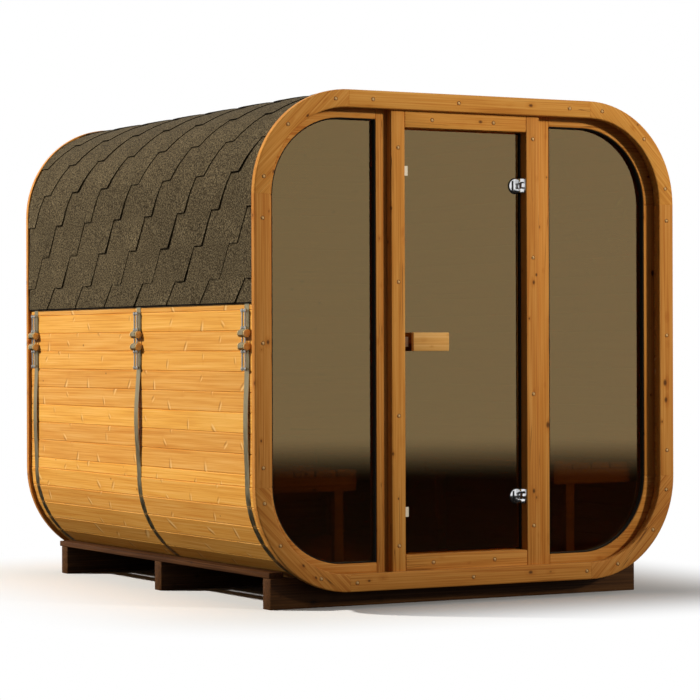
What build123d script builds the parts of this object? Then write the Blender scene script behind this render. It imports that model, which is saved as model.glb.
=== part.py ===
"""Outdoor sauna: a rounded-square timber barrel with a glazed front and a hinged glass door.

Frame: X runs across the front, the front faces -Y, +Z is up, and the origin is on the
ground under the middle of the part. All sizes are in millimetres.
"""
import os
from math import cos, pi, sqrt

from build123d import *

# Overall form
ring_width = 2104
ring_height = 2100
ring_radius = 446
ring_lift = 70
cabin_depth = 2440

# Trim ring on each end of the barrel
ring_face = 75
ring_thickness = 28
ring_edge_chamfer = 3
ring_proud = 15

# Staves of the barrel and boards of the back wall
stave_thickness = 42
back_wall_thickness = 42

# Door frame
door_centre = -15
doorway_width = 611
post_width = 67
post_depth = 100
head_height = 90
sill_height = 84

# Window frames
window_setback = 38
left_stile_width = 54
right_stile_width = 74
lip_visible = 39
window_glass_thickness = 6
window_glass_setback = 26

# Glass door
door_glass_thickness = 8
door_glass_setback = 46
door_gap = 7
hinge_gap = 17
glass_corner_radius = 6

# Door handle: a wooden block on two spacers, the same on both faces of the glass
handle_length = 177
handle_height = 79
handle_thickness = 20
handle_standoff = 30
handle_spacer_radius = 11
handle_spacer_sides = 12
handle_spacing = 110
handle_edge_gap = 30
handle_rise = 904
handle_edge_chamfer = 3

# Door hinges: a leaf on the post with a knuckle and a pin, and a clamp on the glass with two
hinge_end_inset = 225
hinge_height = 62
leaf_thickness = 3
leaf_depth = 24
knuckle_radius = 6.5
pin_radius = 3
pin_clearance = 0.3
knuckle_gap = 0.6
knuckle_glass_gap = 25
hinge_axis_inset = 10
clamp_width = 44
clamp_thickness = 6
clamp_edge_inset = 1
clamp_arm_width = 6
middle_knuckle_share = 0.4

# Catch plate and buffers on the free edge of the glass
clip_width = 31
clip_thickness = 3
catch_height = 42
buffer_height = 42
buffer_end_inset = 174

# Shingle roof
eaves_rise = 160
roof_thickness = 6

# Hoops with their tensioners
hoop_width = 40
hoop_thickness = 1.5
hoop_end_inset = 98
middle_hoop_shift = -60
tensioner_rise = 5
crossbar_spacing = 54
crossbar_radius = 14
crossbar_sides = 8
crossbar_length = 62
crossbar_end_radius = 16
crossbar_end_width = 6
rod_radius = 4
rod_sides = 6
rod_spacing = 26
rod_length = 258
nut_width = 13
nut_height = 8

# Bearers and ledges under the barrel
bearer_end_inset = 132
bearer_thickness = 70
bearer_height = 130
bearer_inset = 122
ledge_gap = 6
ledge_thickness = 25
ledge_front_inset = 13
ledge_back_overhang = 23

# Benches along the side walls
bench_rise = 448
bench_width = 493
slat_thickness = 28
slat_gap = 8
slats_per_bench = 5
trestle_thickness = 28
trestle_height = 62
trestles_per_bench = 3
bench_leg_width = 42
bench_leg_inset = 63
bench_front_gap = 12
bench_back_gap = 10

# Clearances
seat_clearance = 0.3

# Levels, half sizes and places along the depth
half_width = ring_width / 2
half_height = ring_height / 2
centre_level = ring_lift + half_height
straight_half_width = half_width - ring_radius
straight_half_height = half_height - ring_radius
wall_inset = ring_proud + stave_thickness
floor_level = ring_lift + wall_inset
ceiling_level = ring_lift + ring_height - wall_inset
front = -cabin_depth / 2
back = cabin_depth / 2
barrel_front = front + ring_thickness
barrel_back = back - ring_thickness
wall_inner_x = half_width - wall_inset
post_front = barrel_front
post_back = post_front + post_depth
frame_front = post_front + window_setback
lip_inset = ring_face + lip_visible
left_jamb = door_centre - doorway_width / 2
right_jamb = door_centre + doorway_width / 2
doorway_sill = floor_level + sill_height
doorway_head = ceiling_level - head_height
handle_level = doorway_sill + handle_rise
eaves_level = centre_level + eaves_rise
tensioner_level = centre_level + tensioner_rise
bench_level = floor_level + bench_rise
bearer_half_length = half_width - bearer_end_inset
roof_lay = 2 * seat_clearance + hoop_thickness
hoop_places = (front + hoop_end_inset, middle_hoop_shift, back - hoop_end_inset)
front_bearer_place = front + bearer_inset + bearer_thickness / 2
bearer_places = {"front": front_bearer_place, "middle": 0, "back": -front_bearer_place}


def block(x_span, y_span, z_span):
    """Box between a pair of limits on each axis."""
    spans = (x_span, y_span, z_span)
    size = [max(span) - min(span) for span in spans]
    middle = [(span[0] + span[1]) / 2 for span in spans]
    return Pos(*middle) * Box(*size)


def section(inset):
    """Rounded-square face of the barrel, moved in from the ring's outer edge."""
    face = RectangleRounded(ring_width - 2 * inset, ring_height - 2 * inset, ring_radius - inset)
    return Plane.XZ * Pos(0, centre_level) * face


def prism(face, y_start, y_end):
    """Solid swept from a face in the XZ plane along the depth."""
    return Pos(0, y_start, 0) * extrude(face, amount=y_end - y_start, dir=(0, 1, 0))


def hollow(outer_inset, inner_inset, y_start, y_end):
    """Closed band of the rounded-square section between two insets."""
    return prism(section(outer_inset) - section(inner_inset), y_start, y_end)


def corner_zone(side, rise, y_start, y_end):
    """Box round one rounded corner: side -1 is left and 1 right, rise -1 is low and 1 high."""
    x_span = (side * straight_half_width, side * half_width)
    z_span = (centre_level + rise * straight_half_height, centre_level + rise * half_height)
    return block(x_span, (y_start, y_end), z_span)


def straight_run(outer_inset, inner_inset, y_start, y_end, name):
    """One straight side of a band: top, bottom, left or right."""
    x_run = (-straight_half_width, straight_half_width)
    z_run = (centre_level - straight_half_height, centre_level + straight_half_height)
    x_edge = (half_width - inner_inset, half_width - outer_inset)
    z_edge = (half_height - inner_inset, half_height - outer_inset)
    depth = (y_start, y_end)
    if name == "left":
        return block((-x_edge[1], -x_edge[0]), depth, z_run)
    if name == "right":
        return block(x_edge, depth, z_run)
    if name == "bottom":
        return block(x_run, depth, (centre_level - z_edge[1], centre_level - z_edge[0]))
    return block(x_run, depth, (centre_level + z_edge[0], centre_level + z_edge[1]))


def edges_along_y(solid):
    """Edges of a solid that run along the depth."""
    return solid.edges().filter_by(Axis.Y)


def end_edges(solid, facing):
    """Edges round the front end of a solid, where facing is -1, or round its back end."""
    groups = solid.edges().group_by(Axis.Y)
    return groups[0] if facing < 0 else groups[-1]


def rounded_bar(radius, sides, length):
    """Upright bar of many sides, with a flat side towards each axis."""
    outline = RegularPolygon(radius, sides, major_radius=False, rotation=180 / sides)
    return extrude(outline, length / 2, both=True)


def barrel():
    """Floor, walls and ceiling of staves, and their four rounded corners."""
    inner = wall_inset
    pieces = {
        "floor_staves": straight_run(ring_proud, inner, barrel_front, barrel_back, "bottom"),
        "ceiling_staves": straight_run(ring_proud, inner, barrel_front, barrel_back, "top"),
        "left_wall_staves": straight_run(ring_proud, inner, barrel_front, barrel_back, "left"),
        "right_wall_staves": straight_run(ring_proud, inner, barrel_front, barrel_back, "right"),
    }
    shell = hollow(ring_proud, inner, barrel_front, barrel_back)
    for side, side_name in ((-1, "left"), (1, "right")):
        for rise, rise_name in ((-1, "lower"), (1, "upper")):
            zone = corner_zone(side, rise, barrel_front, barrel_back)
            pieces[f"{rise_name}_{side_name}_corner_staves"] = shell & zone
    return pieces


def ring_pieces(y_start, y_end, facing):
    """Rails and corners of one trim ring, with the arrises of its show face eased."""
    band = hollow(0, ring_face, y_start, y_end)
    rails = {}
    for name in ("top", "bottom", "left", "right"):
        rail = straight_run(0, ring_face, y_start, y_end, name)
        run = Axis.Z if name in ("left", "right") else Axis.X
        arrises = end_edges(rail, facing).filter_by(run)
        rails[name] = chamfer(arrises, ring_edge_chamfer)
    corners = []
    for side in (-1, 1):
        for rise in (-1, 1):
            corner = band & corner_zone(side, rise, y_start, y_end)
            arrises = end_edges(corner, facing).filter_by(GeomType.CIRCLE)
            corners.append(chamfer(arrises, ring_edge_chamfer))
    return rails, Compound(children=corners)


def trim_rings():
    """Front ring as separate rails, back ring as a set of rails, each with its corners."""
    pieces = {}
    front_rails, pieces["front_ring_corners"] = ring_pieces(front, barrel_front, -1)
    for name, rail in front_rails.items():
        pieces[f"front_ring_{name}_rail"] = rail
    back_rails, pieces["back_ring_corners"] = ring_pieces(barrel_back, back, 1)
    pieces["back_ring_rails"] = Compound(children=list(back_rails.values()))
    return pieces


def door_frame():
    """Two posts from floor to ceiling, with a head and a sill between them."""
    height = (floor_level, ceiling_level)
    depth = (post_front, post_back)
    doorway = (left_jamb, right_jamb)
    return {
        "left_door_post": block((left_jamb - post_width, left_jamb), depth, height),
        "right_door_post": block((right_jamb, right_jamb + post_width), depth, height),
        "door_head_rail": block(doorway, depth, (doorway_head, ceiling_level)),
        "door_sill_rail": block(doorway, depth, (floor_level, doorway_sill)),
    }


def window(side, name):
    """Frame and pane of the window between a door post and the barrel wall."""
    jamb = left_jamb if side < 0 else right_jamb
    stile_width = left_stile_width if side < 0 else right_stile_width
    stile_start = jamb + side * post_width
    stile_end = stile_start + side * stile_width
    depth = (frame_front, post_back)
    stile = block((stile_start, stile_end), depth, (ring_lift, ring_lift + ring_height))
    stile &= prism(section(wall_inset + seat_clearance), *depth)
    band = hollow(wall_inset + seat_clearance, lip_inset, *depth)
    corners = []
    for rise in (-1, 1):
        rise_start = centre_level + rise * straight_half_height
        rise_end = centre_level + rise * half_height
        corners.append(band & block((stile_end, side * half_width), depth, (rise_start, rise_end)))
    pane_front = frame_front + window_glass_setback
    pane_depth = (pane_front, pane_front + window_glass_thickness)
    opening = prism(section(lip_inset + seat_clearance), *pane_depth)
    pane_span = (stile_end + side * seat_clearance, side * half_width)
    pane = opening & block(pane_span, pane_depth, (ring_lift, ring_lift + ring_height))
    return {
        f"{name}_window_stile": stile,
        f"{name}_window_side_rail": straight_run(wall_inset, lip_inset, *depth, name),
        f"{name}_window_corners": Compound(children=corners),
        f"{name}_window_glass": pane,
    }


def back_wall():
    """Board wall that closes the barrel behind, held by the back ring."""
    wall_face = section(wall_inset + seat_clearance)
    return {"back_wall": prism(wall_face, barrel_back - back_wall_thickness, barrel_back)}


glass_front = post_front + door_glass_setback
glass_back = glass_front + door_glass_thickness
glass_left = left_jamb + door_gap
glass_right = right_jamb - hinge_gap
glass_bottom = doorway_sill + door_gap
glass_top = doorway_head - door_gap
hinge_levels = (glass_bottom + hinge_end_inset, glass_top - hinge_end_inset)
buffer_levels = (glass_bottom + buffer_end_inset, glass_top - buffer_end_inset)
hinge_x = right_jamb - hinge_axis_inset
hinge_y = glass_front - knuckle_glass_gap - knuckle_radius


def handle_side(direction, face):
    """Handle block with its two spacers on one face of the glass."""
    handle_left = glass_left + handle_edge_gap
    centre_x = handle_left + handle_length / 2
    inner_y = face + direction * handle_standoff
    outer_y = inner_y + direction * handle_thickness
    span = (handle_left, handle_left + handle_length)
    rise = (handle_level - handle_height / 2, handle_level + handle_height / 2)
    grip = block(span, (inner_y, outer_y), rise)
    grip = chamfer(end_edges(grip, direction), handle_edge_chamfer)
    spacer = Rot(90, 0, 0) * rounded_bar(handle_spacer_radius, handle_spacer_sides, handle_standoff)
    for shift in (-handle_spacing / 2, handle_spacing / 2):
        grip += Pos(centre_x + shift, (face + inner_y) / 2, handle_level) * spacer
    return grip


def hinge_knuckle(rise):
    """Round knuckle on the hinge axis between two levels."""
    height = max(rise) - min(rise)
    return Pos(hinge_x, hinge_y, sum(rise) / 2) * Cylinder(knuckle_radius, height)


def hinge_clamp(level):
    """Pair of D-shaped plates on the glass, with an arm to an upper and a lower knuckle."""
    plate_right = glass_right - clamp_edge_inset
    plate_left = plate_right - clamp_width
    arm_left = plate_right - clamp_arm_width
    round_radius = hinge_height / 2
    rise = (level - hinge_height / 2, level + hinge_height / 2)
    plates = []
    for plate_front in (glass_front - clamp_thickness, glass_back):
        depth = (plate_front, plate_front + clamp_thickness)
        flat = block((plate_left + round_radius, plate_right), depth, rise)
        disc = Rot(90, 0, 0) * Cylinder(round_radius, clamp_thickness)
        plates.append(flat + Pos(plate_left + round_radius, sum(depth) / 2, level) * disc)
    front_half = plates[0]
    web_depth = (hinge_y - clamp_arm_width / 2, hinge_y + clamp_arm_width / 2)
    for side in (-1, 1):
        inner = level + side * hinge_height * middle_knuckle_share / 2
        span = (inner, level + side * hinge_height / 2)
        front_half += block((arm_left, plate_right), (web_depth[0], glass_front), span)
        front_half += block((arm_left, hinge_x), web_depth, span)
        front_half += hinge_knuckle(span)
    bore = Pos(hinge_x, hinge_y, level) * Cylinder(pin_radius + pin_clearance, hinge_height)
    return [front_half - bore, plates[1]]


def hinge_leaf(level):
    """Leaf on the post with the middle knuckle and the pin of one hinge."""
    rise = (level - hinge_height / 2, level + hinge_height / 2)
    leaf_front = hinge_y - knuckle_radius
    leaf = block((right_jamb - leaf_thickness, right_jamb), (leaf_front, leaf_front + leaf_depth), rise)
    half = hinge_height * middle_knuckle_share / 2 - knuckle_gap
    span = (level - half, level + half)
    web_depth = (hinge_y - clamp_arm_width / 2, hinge_y + clamp_arm_width / 2)
    leaf += block((hinge_x, right_jamb - leaf_thickness), web_depth, span)
    leaf += hinge_knuckle(span)
    return leaf + Pos(hinge_x, hinge_y, level) * Cylinder(pin_radius, hinge_height)


def edge_clips():
    """Catch plate and two buffers on the free edge of the glass."""
    depth = (glass_front - clip_thickness, glass_front)
    span = (glass_left, glass_left + clip_width)
    heights = [(handle_level, catch_height)] + [(level, buffer_height) for level in buffer_levels]
    clips = []
    for level, height in heights:
        clips.append(block(span, depth, (level - height / 2, level + height / 2)))
    return Compound(children=clips)


def glass_door():
    """Frameless glass leaf with its handles, edge clips and hinges."""
    depth = (glass_front, glass_back)
    leaf = block((glass_left, glass_right), depth, (glass_bottom, glass_top))
    leaf = fillet(edges_along_y(leaf), glass_corner_radius)
    handles = [handle_side(-1, glass_front), handle_side(1, glass_back)]
    clamps = []
    for level in hinge_levels:
        clamps.extend(hinge_clamp(level))
    return {
        "door_glass": leaf,
        "door_handles": Compound(children=handles),
        "hinge_clamps": Compound(children=clamps),
        "door_edge_clips": edge_clips(),
        "hinge_leaves": Compound(children=[hinge_leaf(level) for level in hinge_levels]),
    }


def shingle_roof():
    """Shingle skin over the top of the barrel, from eaves to eaves."""
    outer_inset = ring_proud - roof_lay - roof_thickness
    skin = hollow(outer_inset, outer_inset + roof_thickness, barrel_front, barrel_back)
    across = (-half_width, half_width)
    cover = block(across, (barrel_front, barrel_back), (eaves_level, ring_lift + ring_height))
    return {"shingle_roof": skin & cover}


hoop_inner_inset = ring_proud - seat_clearance
hoop_outer_inset = hoop_inner_inset - hoop_thickness
loop_inner_radius = crossbar_radius + seat_clearance
loop_outer_radius = loop_inner_radius + hoop_thickness
crossbar_x = half_width - hoop_inner_inset + loop_outer_radius
upper_bar_level = tensioner_level + crossbar_spacing / 2
lower_bar_level = tensioner_level - crossbar_spacing / 2


def rod_slots(place):
    """Square uprights at the four rod places of one hoop, wider than the rods."""
    width = 2 * (rod_radius / cos(pi / rod_sides) + pin_clearance)
    slots = []
    for side in (-1, 1):
        for shift in (-rod_spacing / 2, rod_spacing / 2):
            slot = Pos(side * crossbar_x, place + shift, tensioner_level)
            slots.append(slot * Box(width, width, rod_length))
    return slots


def hoop(place):
    """Steel band in an upper and a lower half, each looped round its crossbars."""
    y_span = (place - hoop_width / 2, place + hoop_width / 2)
    band = hollow(hoop_outer_inset, hoop_inner_inset, *y_span)
    across = (-half_width, half_width)
    upper = band & block(across, y_span, (upper_bar_level, ring_lift + ring_height))
    lower = band & block(across, y_span, (ring_lift, lower_bar_level))
    loop = rounded_bar(loop_outer_radius, crossbar_sides, hoop_width)
    loop -= rounded_bar(loop_inner_radius, crossbar_sides, hoop_width)
    loop = Rot(90, 0, 0) * loop
    for side in (-1, 1):
        upper += Pos(side * crossbar_x, place, upper_bar_level) * loop
        lower += Pos(side * crossbar_x, place, lower_bar_level) * loop
    for slot in rod_slots(place):
        upper -= slot
        lower -= slot
    return Compound(children=[upper.solid(), lower.solid()])


def crossbar(side, place, level):
    """Round bar across a hoop, with a collar on each end and slots for its two rods."""
    bar = rounded_bar(crossbar_radius, crossbar_sides, crossbar_length)
    for end in (-1, 1):
        shift = end * (crossbar_length - crossbar_end_width) / 2
        bar += Pos(0, 0, shift) * rounded_bar(crossbar_end_radius, crossbar_sides, crossbar_end_width)
    bar = Pos(side * crossbar_x, place, level) * Rot(90, 0, 0) * bar
    for slot in rod_slots(place):
        bar -= slot
    return bar


def tension_rod(side, place, shift):
    """Upright rod with a nut above the upper crossbar and one below the lower."""
    rod = rounded_bar(rod_radius, rod_sides, rod_length)
    nut = extrude(RegularPolygon(nut_width / 2, 6, major_radius=False), nut_height)
    nut_start = crossbar_spacing / 2 + loop_outer_radius + seat_clearance
    rod += Pos(0, 0, nut_start) * nut
    rod += Pos(0, 0, -nut_start - nut_height) * nut
    return Pos(side * crossbar_x, place + shift, tensioner_level) * rod


def hoops():
    """Three hoops with a tensioner on each side."""
    pieces = {}
    bars = []
    rods = []
    for name, place in zip(("front", "middle", "back"), hoop_places):
        pieces[f"{name}_hoop"] = hoop(place)
        for side in (-1, 1):
            bars.append(crossbar(side, place, upper_bar_level))
            bars.append(crossbar(side, place, lower_bar_level))
            rods.append(tension_rod(side, place, -rod_spacing / 2))
            rods.append(tension_rod(side, place, rod_spacing / 2))
    pieces["tensioner_crossbars"] = Compound(children=bars)
    pieces["tensioner_rods"] = Compound(children=rods)
    return pieces


def barrel_reach(level):
    """Half width of the barrel and its hoops at a level below the rounded corners' centres."""
    outer_radius = ring_radius - hoop_outer_inset
    drop = ring_lift + ring_radius - level
    return straight_half_width + sqrt(outer_radius ** 2 - drop ** 2)


def base():
    """Three bearers, scooped to carry the barrel, and a ledge along each side."""
    pieces = {}
    barrel_height = ring_height - 2 * ring_proud
    cradle_width = ring_width - 2 * ring_proud + 2 * seat_clearance
    cradle = Pos(0, centre_level) * RectangleRounded(cradle_width, barrel_height, ring_radius - ring_proud)
    for name, place in bearer_places.items():
        depth = (place - bearer_thickness / 2, place + bearer_thickness / 2)
        beam = block((-bearer_half_length, bearer_half_length), depth, (0, bearer_height))
        pieces[f"{name}_bearer"] = beam - prism(Plane.XZ * cradle, *depth)
    ledge_top = bearer_height + ledge_thickness
    ledge_inner = barrel_reach(ledge_top) + ledge_gap
    ledge_start = bearer_places["front"] - bearer_thickness / 2 + ledge_front_inset
    ledge_end = bearer_places["back"] + bearer_thickness / 2 + ledge_back_overhang
    for side, name in ((-1, "left"), (1, "right")):
        span = (side * ledge_inner, side * bearer_half_length)
        pieces[f"{name}_ledge"] = block(span, (ledge_start, ledge_end), (bearer_height, ledge_top))
    return pieces


def bench(side, name):
    """Slatted bench along one side wall, on trestles that stand on the floor."""
    bench_front = post_back + bench_front_gap
    bench_back = barrel_back - back_wall_thickness - bench_back_gap
    seat_underside = bench_level - slat_thickness
    slat_width = (bench_width - (slats_per_bench - 1) * slat_gap) / slats_per_bench
    slats = []
    for number in range(slats_per_bench):
        outer = wall_inner_x - seat_clearance - number * (slat_width + slat_gap)
        span = (side * (outer - slat_width), side * outer)
        slats.append(block(span, (bench_front, bench_back), (seat_underside, bench_level)))
    inner_edge = wall_inner_x - seat_clearance - bench_width
    leg_inner = inner_edge + bench_leg_inset
    trestle_bottom = seat_underside - trestle_height
    inside = prism(section(wall_inset + seat_clearance), front, back)
    step = (bench_back - bench_front - trestle_thickness) / (trestles_per_bench - 1)
    trestles = []
    for number in range(trestles_per_bench):
        start = bench_front + number * step
        depth = (start, start + trestle_thickness)
        board = block((side * inner_edge, side * half_width), depth, (trestle_bottom, seat_underside))
        leg_span = (side * leg_inner, side * (leg_inner + bench_leg_width))
        leg = block(leg_span, depth, (floor_level, trestle_bottom))
        trestles.append((board + leg) & inside)
    return {
        f"{name}_bench_seat": Compound(children=slats),
        f"{name}_bench_trestles": Compound(children=trestles),
    }


def sauna():
    """All nodes of the sauna by name."""
    nodes = {}
    nodes.update(barrel())
    nodes.update(trim_rings())
    nodes.update(door_frame())
    nodes.update(window(-1, "left"))
    nodes.update(window(1, "right"))
    nodes.update(back_wall())
    nodes.update(glass_door())
    nodes.update(shingle_roof())
    nodes.update(hoops())
    nodes.update(base())
    nodes.update(bench(-1, "left"))
    nodes.update(bench(1, "right"))
    return nodes


os.makedirs("parts", exist_ok=True)
for node_name, node in sauna().items():
    export_step(node, f"parts/{node_name}.step")
print(f"hinge axis at x {hinge_x:.1f}, y {hinge_y:.1f}")
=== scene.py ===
"""Looks of the outdoor sauna: staves, shingles, trim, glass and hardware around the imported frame."""

import logging
import math
import random
from contextlib import contextmanager
from dataclasses import dataclass
from enum import Enum
from typing import Callable, Iterable, Iterator, Sequence

import bpy
from mathutils import Matrix, Vector


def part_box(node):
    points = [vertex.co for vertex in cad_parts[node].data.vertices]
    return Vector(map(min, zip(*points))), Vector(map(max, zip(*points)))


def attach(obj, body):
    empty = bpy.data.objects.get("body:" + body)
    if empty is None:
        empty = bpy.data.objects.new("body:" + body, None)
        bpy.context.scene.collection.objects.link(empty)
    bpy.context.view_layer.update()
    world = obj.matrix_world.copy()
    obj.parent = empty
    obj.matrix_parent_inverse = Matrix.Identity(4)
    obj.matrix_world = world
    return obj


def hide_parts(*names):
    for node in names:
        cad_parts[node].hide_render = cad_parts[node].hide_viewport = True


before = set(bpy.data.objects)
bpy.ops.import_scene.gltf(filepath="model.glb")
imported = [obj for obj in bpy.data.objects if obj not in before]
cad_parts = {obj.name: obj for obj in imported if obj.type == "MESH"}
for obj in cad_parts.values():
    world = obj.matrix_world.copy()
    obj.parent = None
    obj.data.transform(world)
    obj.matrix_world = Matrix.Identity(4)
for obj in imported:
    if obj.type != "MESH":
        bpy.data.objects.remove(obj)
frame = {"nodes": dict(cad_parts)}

MM = 0.001
# Points nearer than this are merged, and faces that meet flatter than this are made one.
MERGE = 0.01 * MM
FLAT = math.radians(0.5)
# A face looks along an axis where its normal reaches this far along it.
FACING = 0.9
# Most values of a noise texture lie in this range, about its middle.
NOISE_RANGE = {"From Min": 0.3, "From Max": 0.7}
NOISE_MIDDLE = 0.5
NOISE_ROUGHNESS = 0.6
# A hue shift of this value leaves a colour as it is.
PLAIN_HUE = 0.5
LOG = logging.getLogger("sauna")
Tree = bpy.types.NodeTree
Socket = bpy.types.NodeSocket
Material = bpy.types.Material
Colour = tuple[float, float, float, float]
Point = Sequence[float]


class Grain(Enum):
    """Which way the fibres of a board run."""

    DEPTH = "depth"
    WIDTH = "width"
    HEIGHT = "height"
    CHORD = "chord"


class Axis(Enum):
    """Axis along which boards are set side by side, or a rail runs."""

    X = 0
    Z = 2


def srgb(code: str) -> Colour:
    """Turns an sRGB hex colour to linear.

    Args:
        code: Colour such as "#C8863C".

    Returns:
        Linear red, green and blue, and a full alpha.
    """
    values = [int(code[i:i + 2], 16) / 255 for i in (1, 3, 5)]
    linear = [v / 12.92 if v <= 0.04045 else ((v + 0.055) / 1.055) ** 2.4 for v in values]
    return (*linear, 1.0)


def wire(tree: Tree, node: bpy.types.Node, sockets: dict) -> None:
    """Sets input sockets of a node.

    Args:
        tree: Node tree of the node.
        node: Node whose sockets are set.
        sockets: Input sockets by name or number, each a value, an output or a node whose first output is linked.
    """
    for key, value in sockets.items():
        if isinstance(value, bpy.types.Node):
            value = value.outputs[0]
        if isinstance(value, Socket):
            tree.links.new(value, node.inputs[key])
        else:
            node.inputs[key].default_value = value


def add(tree: Tree, kind: str, sockets: dict | None = None,
        stops: Iterable[tuple[float, str]] = (), **settings: object) -> bpy.types.Node:
    """Adds one shader node with its settings, ramp stops and sockets.

    Args:
        tree: Node tree that gets the node.
        kind: Node type without its ShaderNode prefix.
        sockets: Input sockets, as for wire.
        stops: Position and hex colour of each stop, for a colour ramp.
        settings: Properties of the node.

    Returns:
        The new node.
    """
    made = tree.nodes.new("ShaderNode" + kind)
    for name, value in settings.items():
        setattr(made, name, value)
    for number, (position, code) in enumerate(stops):
        ramp = made.color_ramp.elements
        stop = ramp[number] if number < len(ramp) else ramp.new(position)
        stop.position = position
        stop.color = srgb(code)
    wire(tree, made, sockets or {})
    return made


def new_material(name: str) -> tuple[Material, Tree, bpy.types.Node]:
    """Starts a material.

    Args:
        name: Name of the real material.

    Returns:
        The material, its node tree and its Principled shader.
    """
    material = bpy.data.materials.new(name)
    material.use_nodes = True
    tree = material.node_tree
    return material, tree, tree.nodes["Principled BSDF"]


@dataclass(frozen=True)
class Section:
    """Rounded square that the staves, rings, hoops and roof follow."""

    half_width: float
    half_height: float
    radius: float
    centre: float

    @classmethod
    def measured(cls) -> "Section":
        """Reads the section from the rails of the front ring.

        Returns:
            The section.
        """
        left_low, left_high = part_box("front_ring_left_rail")
        _, top_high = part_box("front_ring_top_rail")
        bottom_low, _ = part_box("front_ring_bottom_rail")
        centre = (top_high.z + bottom_low.z) / 2
        half_height = (top_high.z - bottom_low.z) / 2
        radius = half_height - (left_high.z - left_low.z) / 2
        return cls(-left_low.x, half_height, radius, centre)

    @property
    def flat_x(self) -> float:
        """Half width of the straight top and bottom."""
        return self.half_width - self.radius

    @property
    def flat_z(self) -> float:
        """Half height of the straight sides."""
        return self.half_height - self.radius

    def corner_turns(self) -> list[tuple[Vector, float]]:
        """Places a corner that sweeps from +X to +Z.

        Returns:
            Centre and turn about the Y axis of each of the four corners.
        """
        signs = ((1, 1), (-1, 1), (-1, -1), (1, -1))
        return [
            (Vector((sx * self.flat_x, 0, self.centre + sz * self.flat_z)), -number * math.pi / 2)
            for number, (sx, sz) in enumerate(signs)
        ]

    def roof_place(self, run: float, y: float, inset: float, lift: float, eaves: float, side: int) -> Vector:
        """Finds a place on the roof.

        Args:
            run: Distance up the roof from its eaves.
            y: Place along the depth.
            inset: Depth of the roof's underside below the ring's outer edge.
            lift: Height above the underside.
            eaves: Level of the eaves.
            side: -1 for the left slope and 1 for the right.

        Returns:
            The place in the shared frame.
        """
        rise = self.centre + self.flat_z - eaves
        bend = (self.radius - inset) * math.pi / 2
        reach = self.radius - inset + lift
        if run <= rise:
            return Vector((side * (self.flat_x + reach), y, eaves + run))
        if run <= rise + bend:
            angle = (run - rise) / (self.radius - inset)
            x = self.flat_x + reach * math.cos(angle)
            z = self.centre + self.flat_z + reach * math.sin(angle)
            return Vector((side * x, y, z))
        x = self.flat_x - (run - rise - bend)
        return Vector((side * x, y, self.centre + self.flat_z + reach))

    def roof_run(self, inset: float, eaves: float) -> float:
        """Length of one slope from the eaves to the ridge."""
        rise = self.centre + self.flat_z - eaves
        return rise + (self.radius - inset) * math.pi / 2 + self.flat_x


def clear_selection() -> None:
    """Deselects everything, so that an operator meets only the piece in hand."""
    if bpy.context.object and bpy.context.object.mode != "OBJECT":
        bpy.ops.object.mode_set(mode="OBJECT")
    bpy.ops.object.select_all(action="DESELECT")


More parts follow.
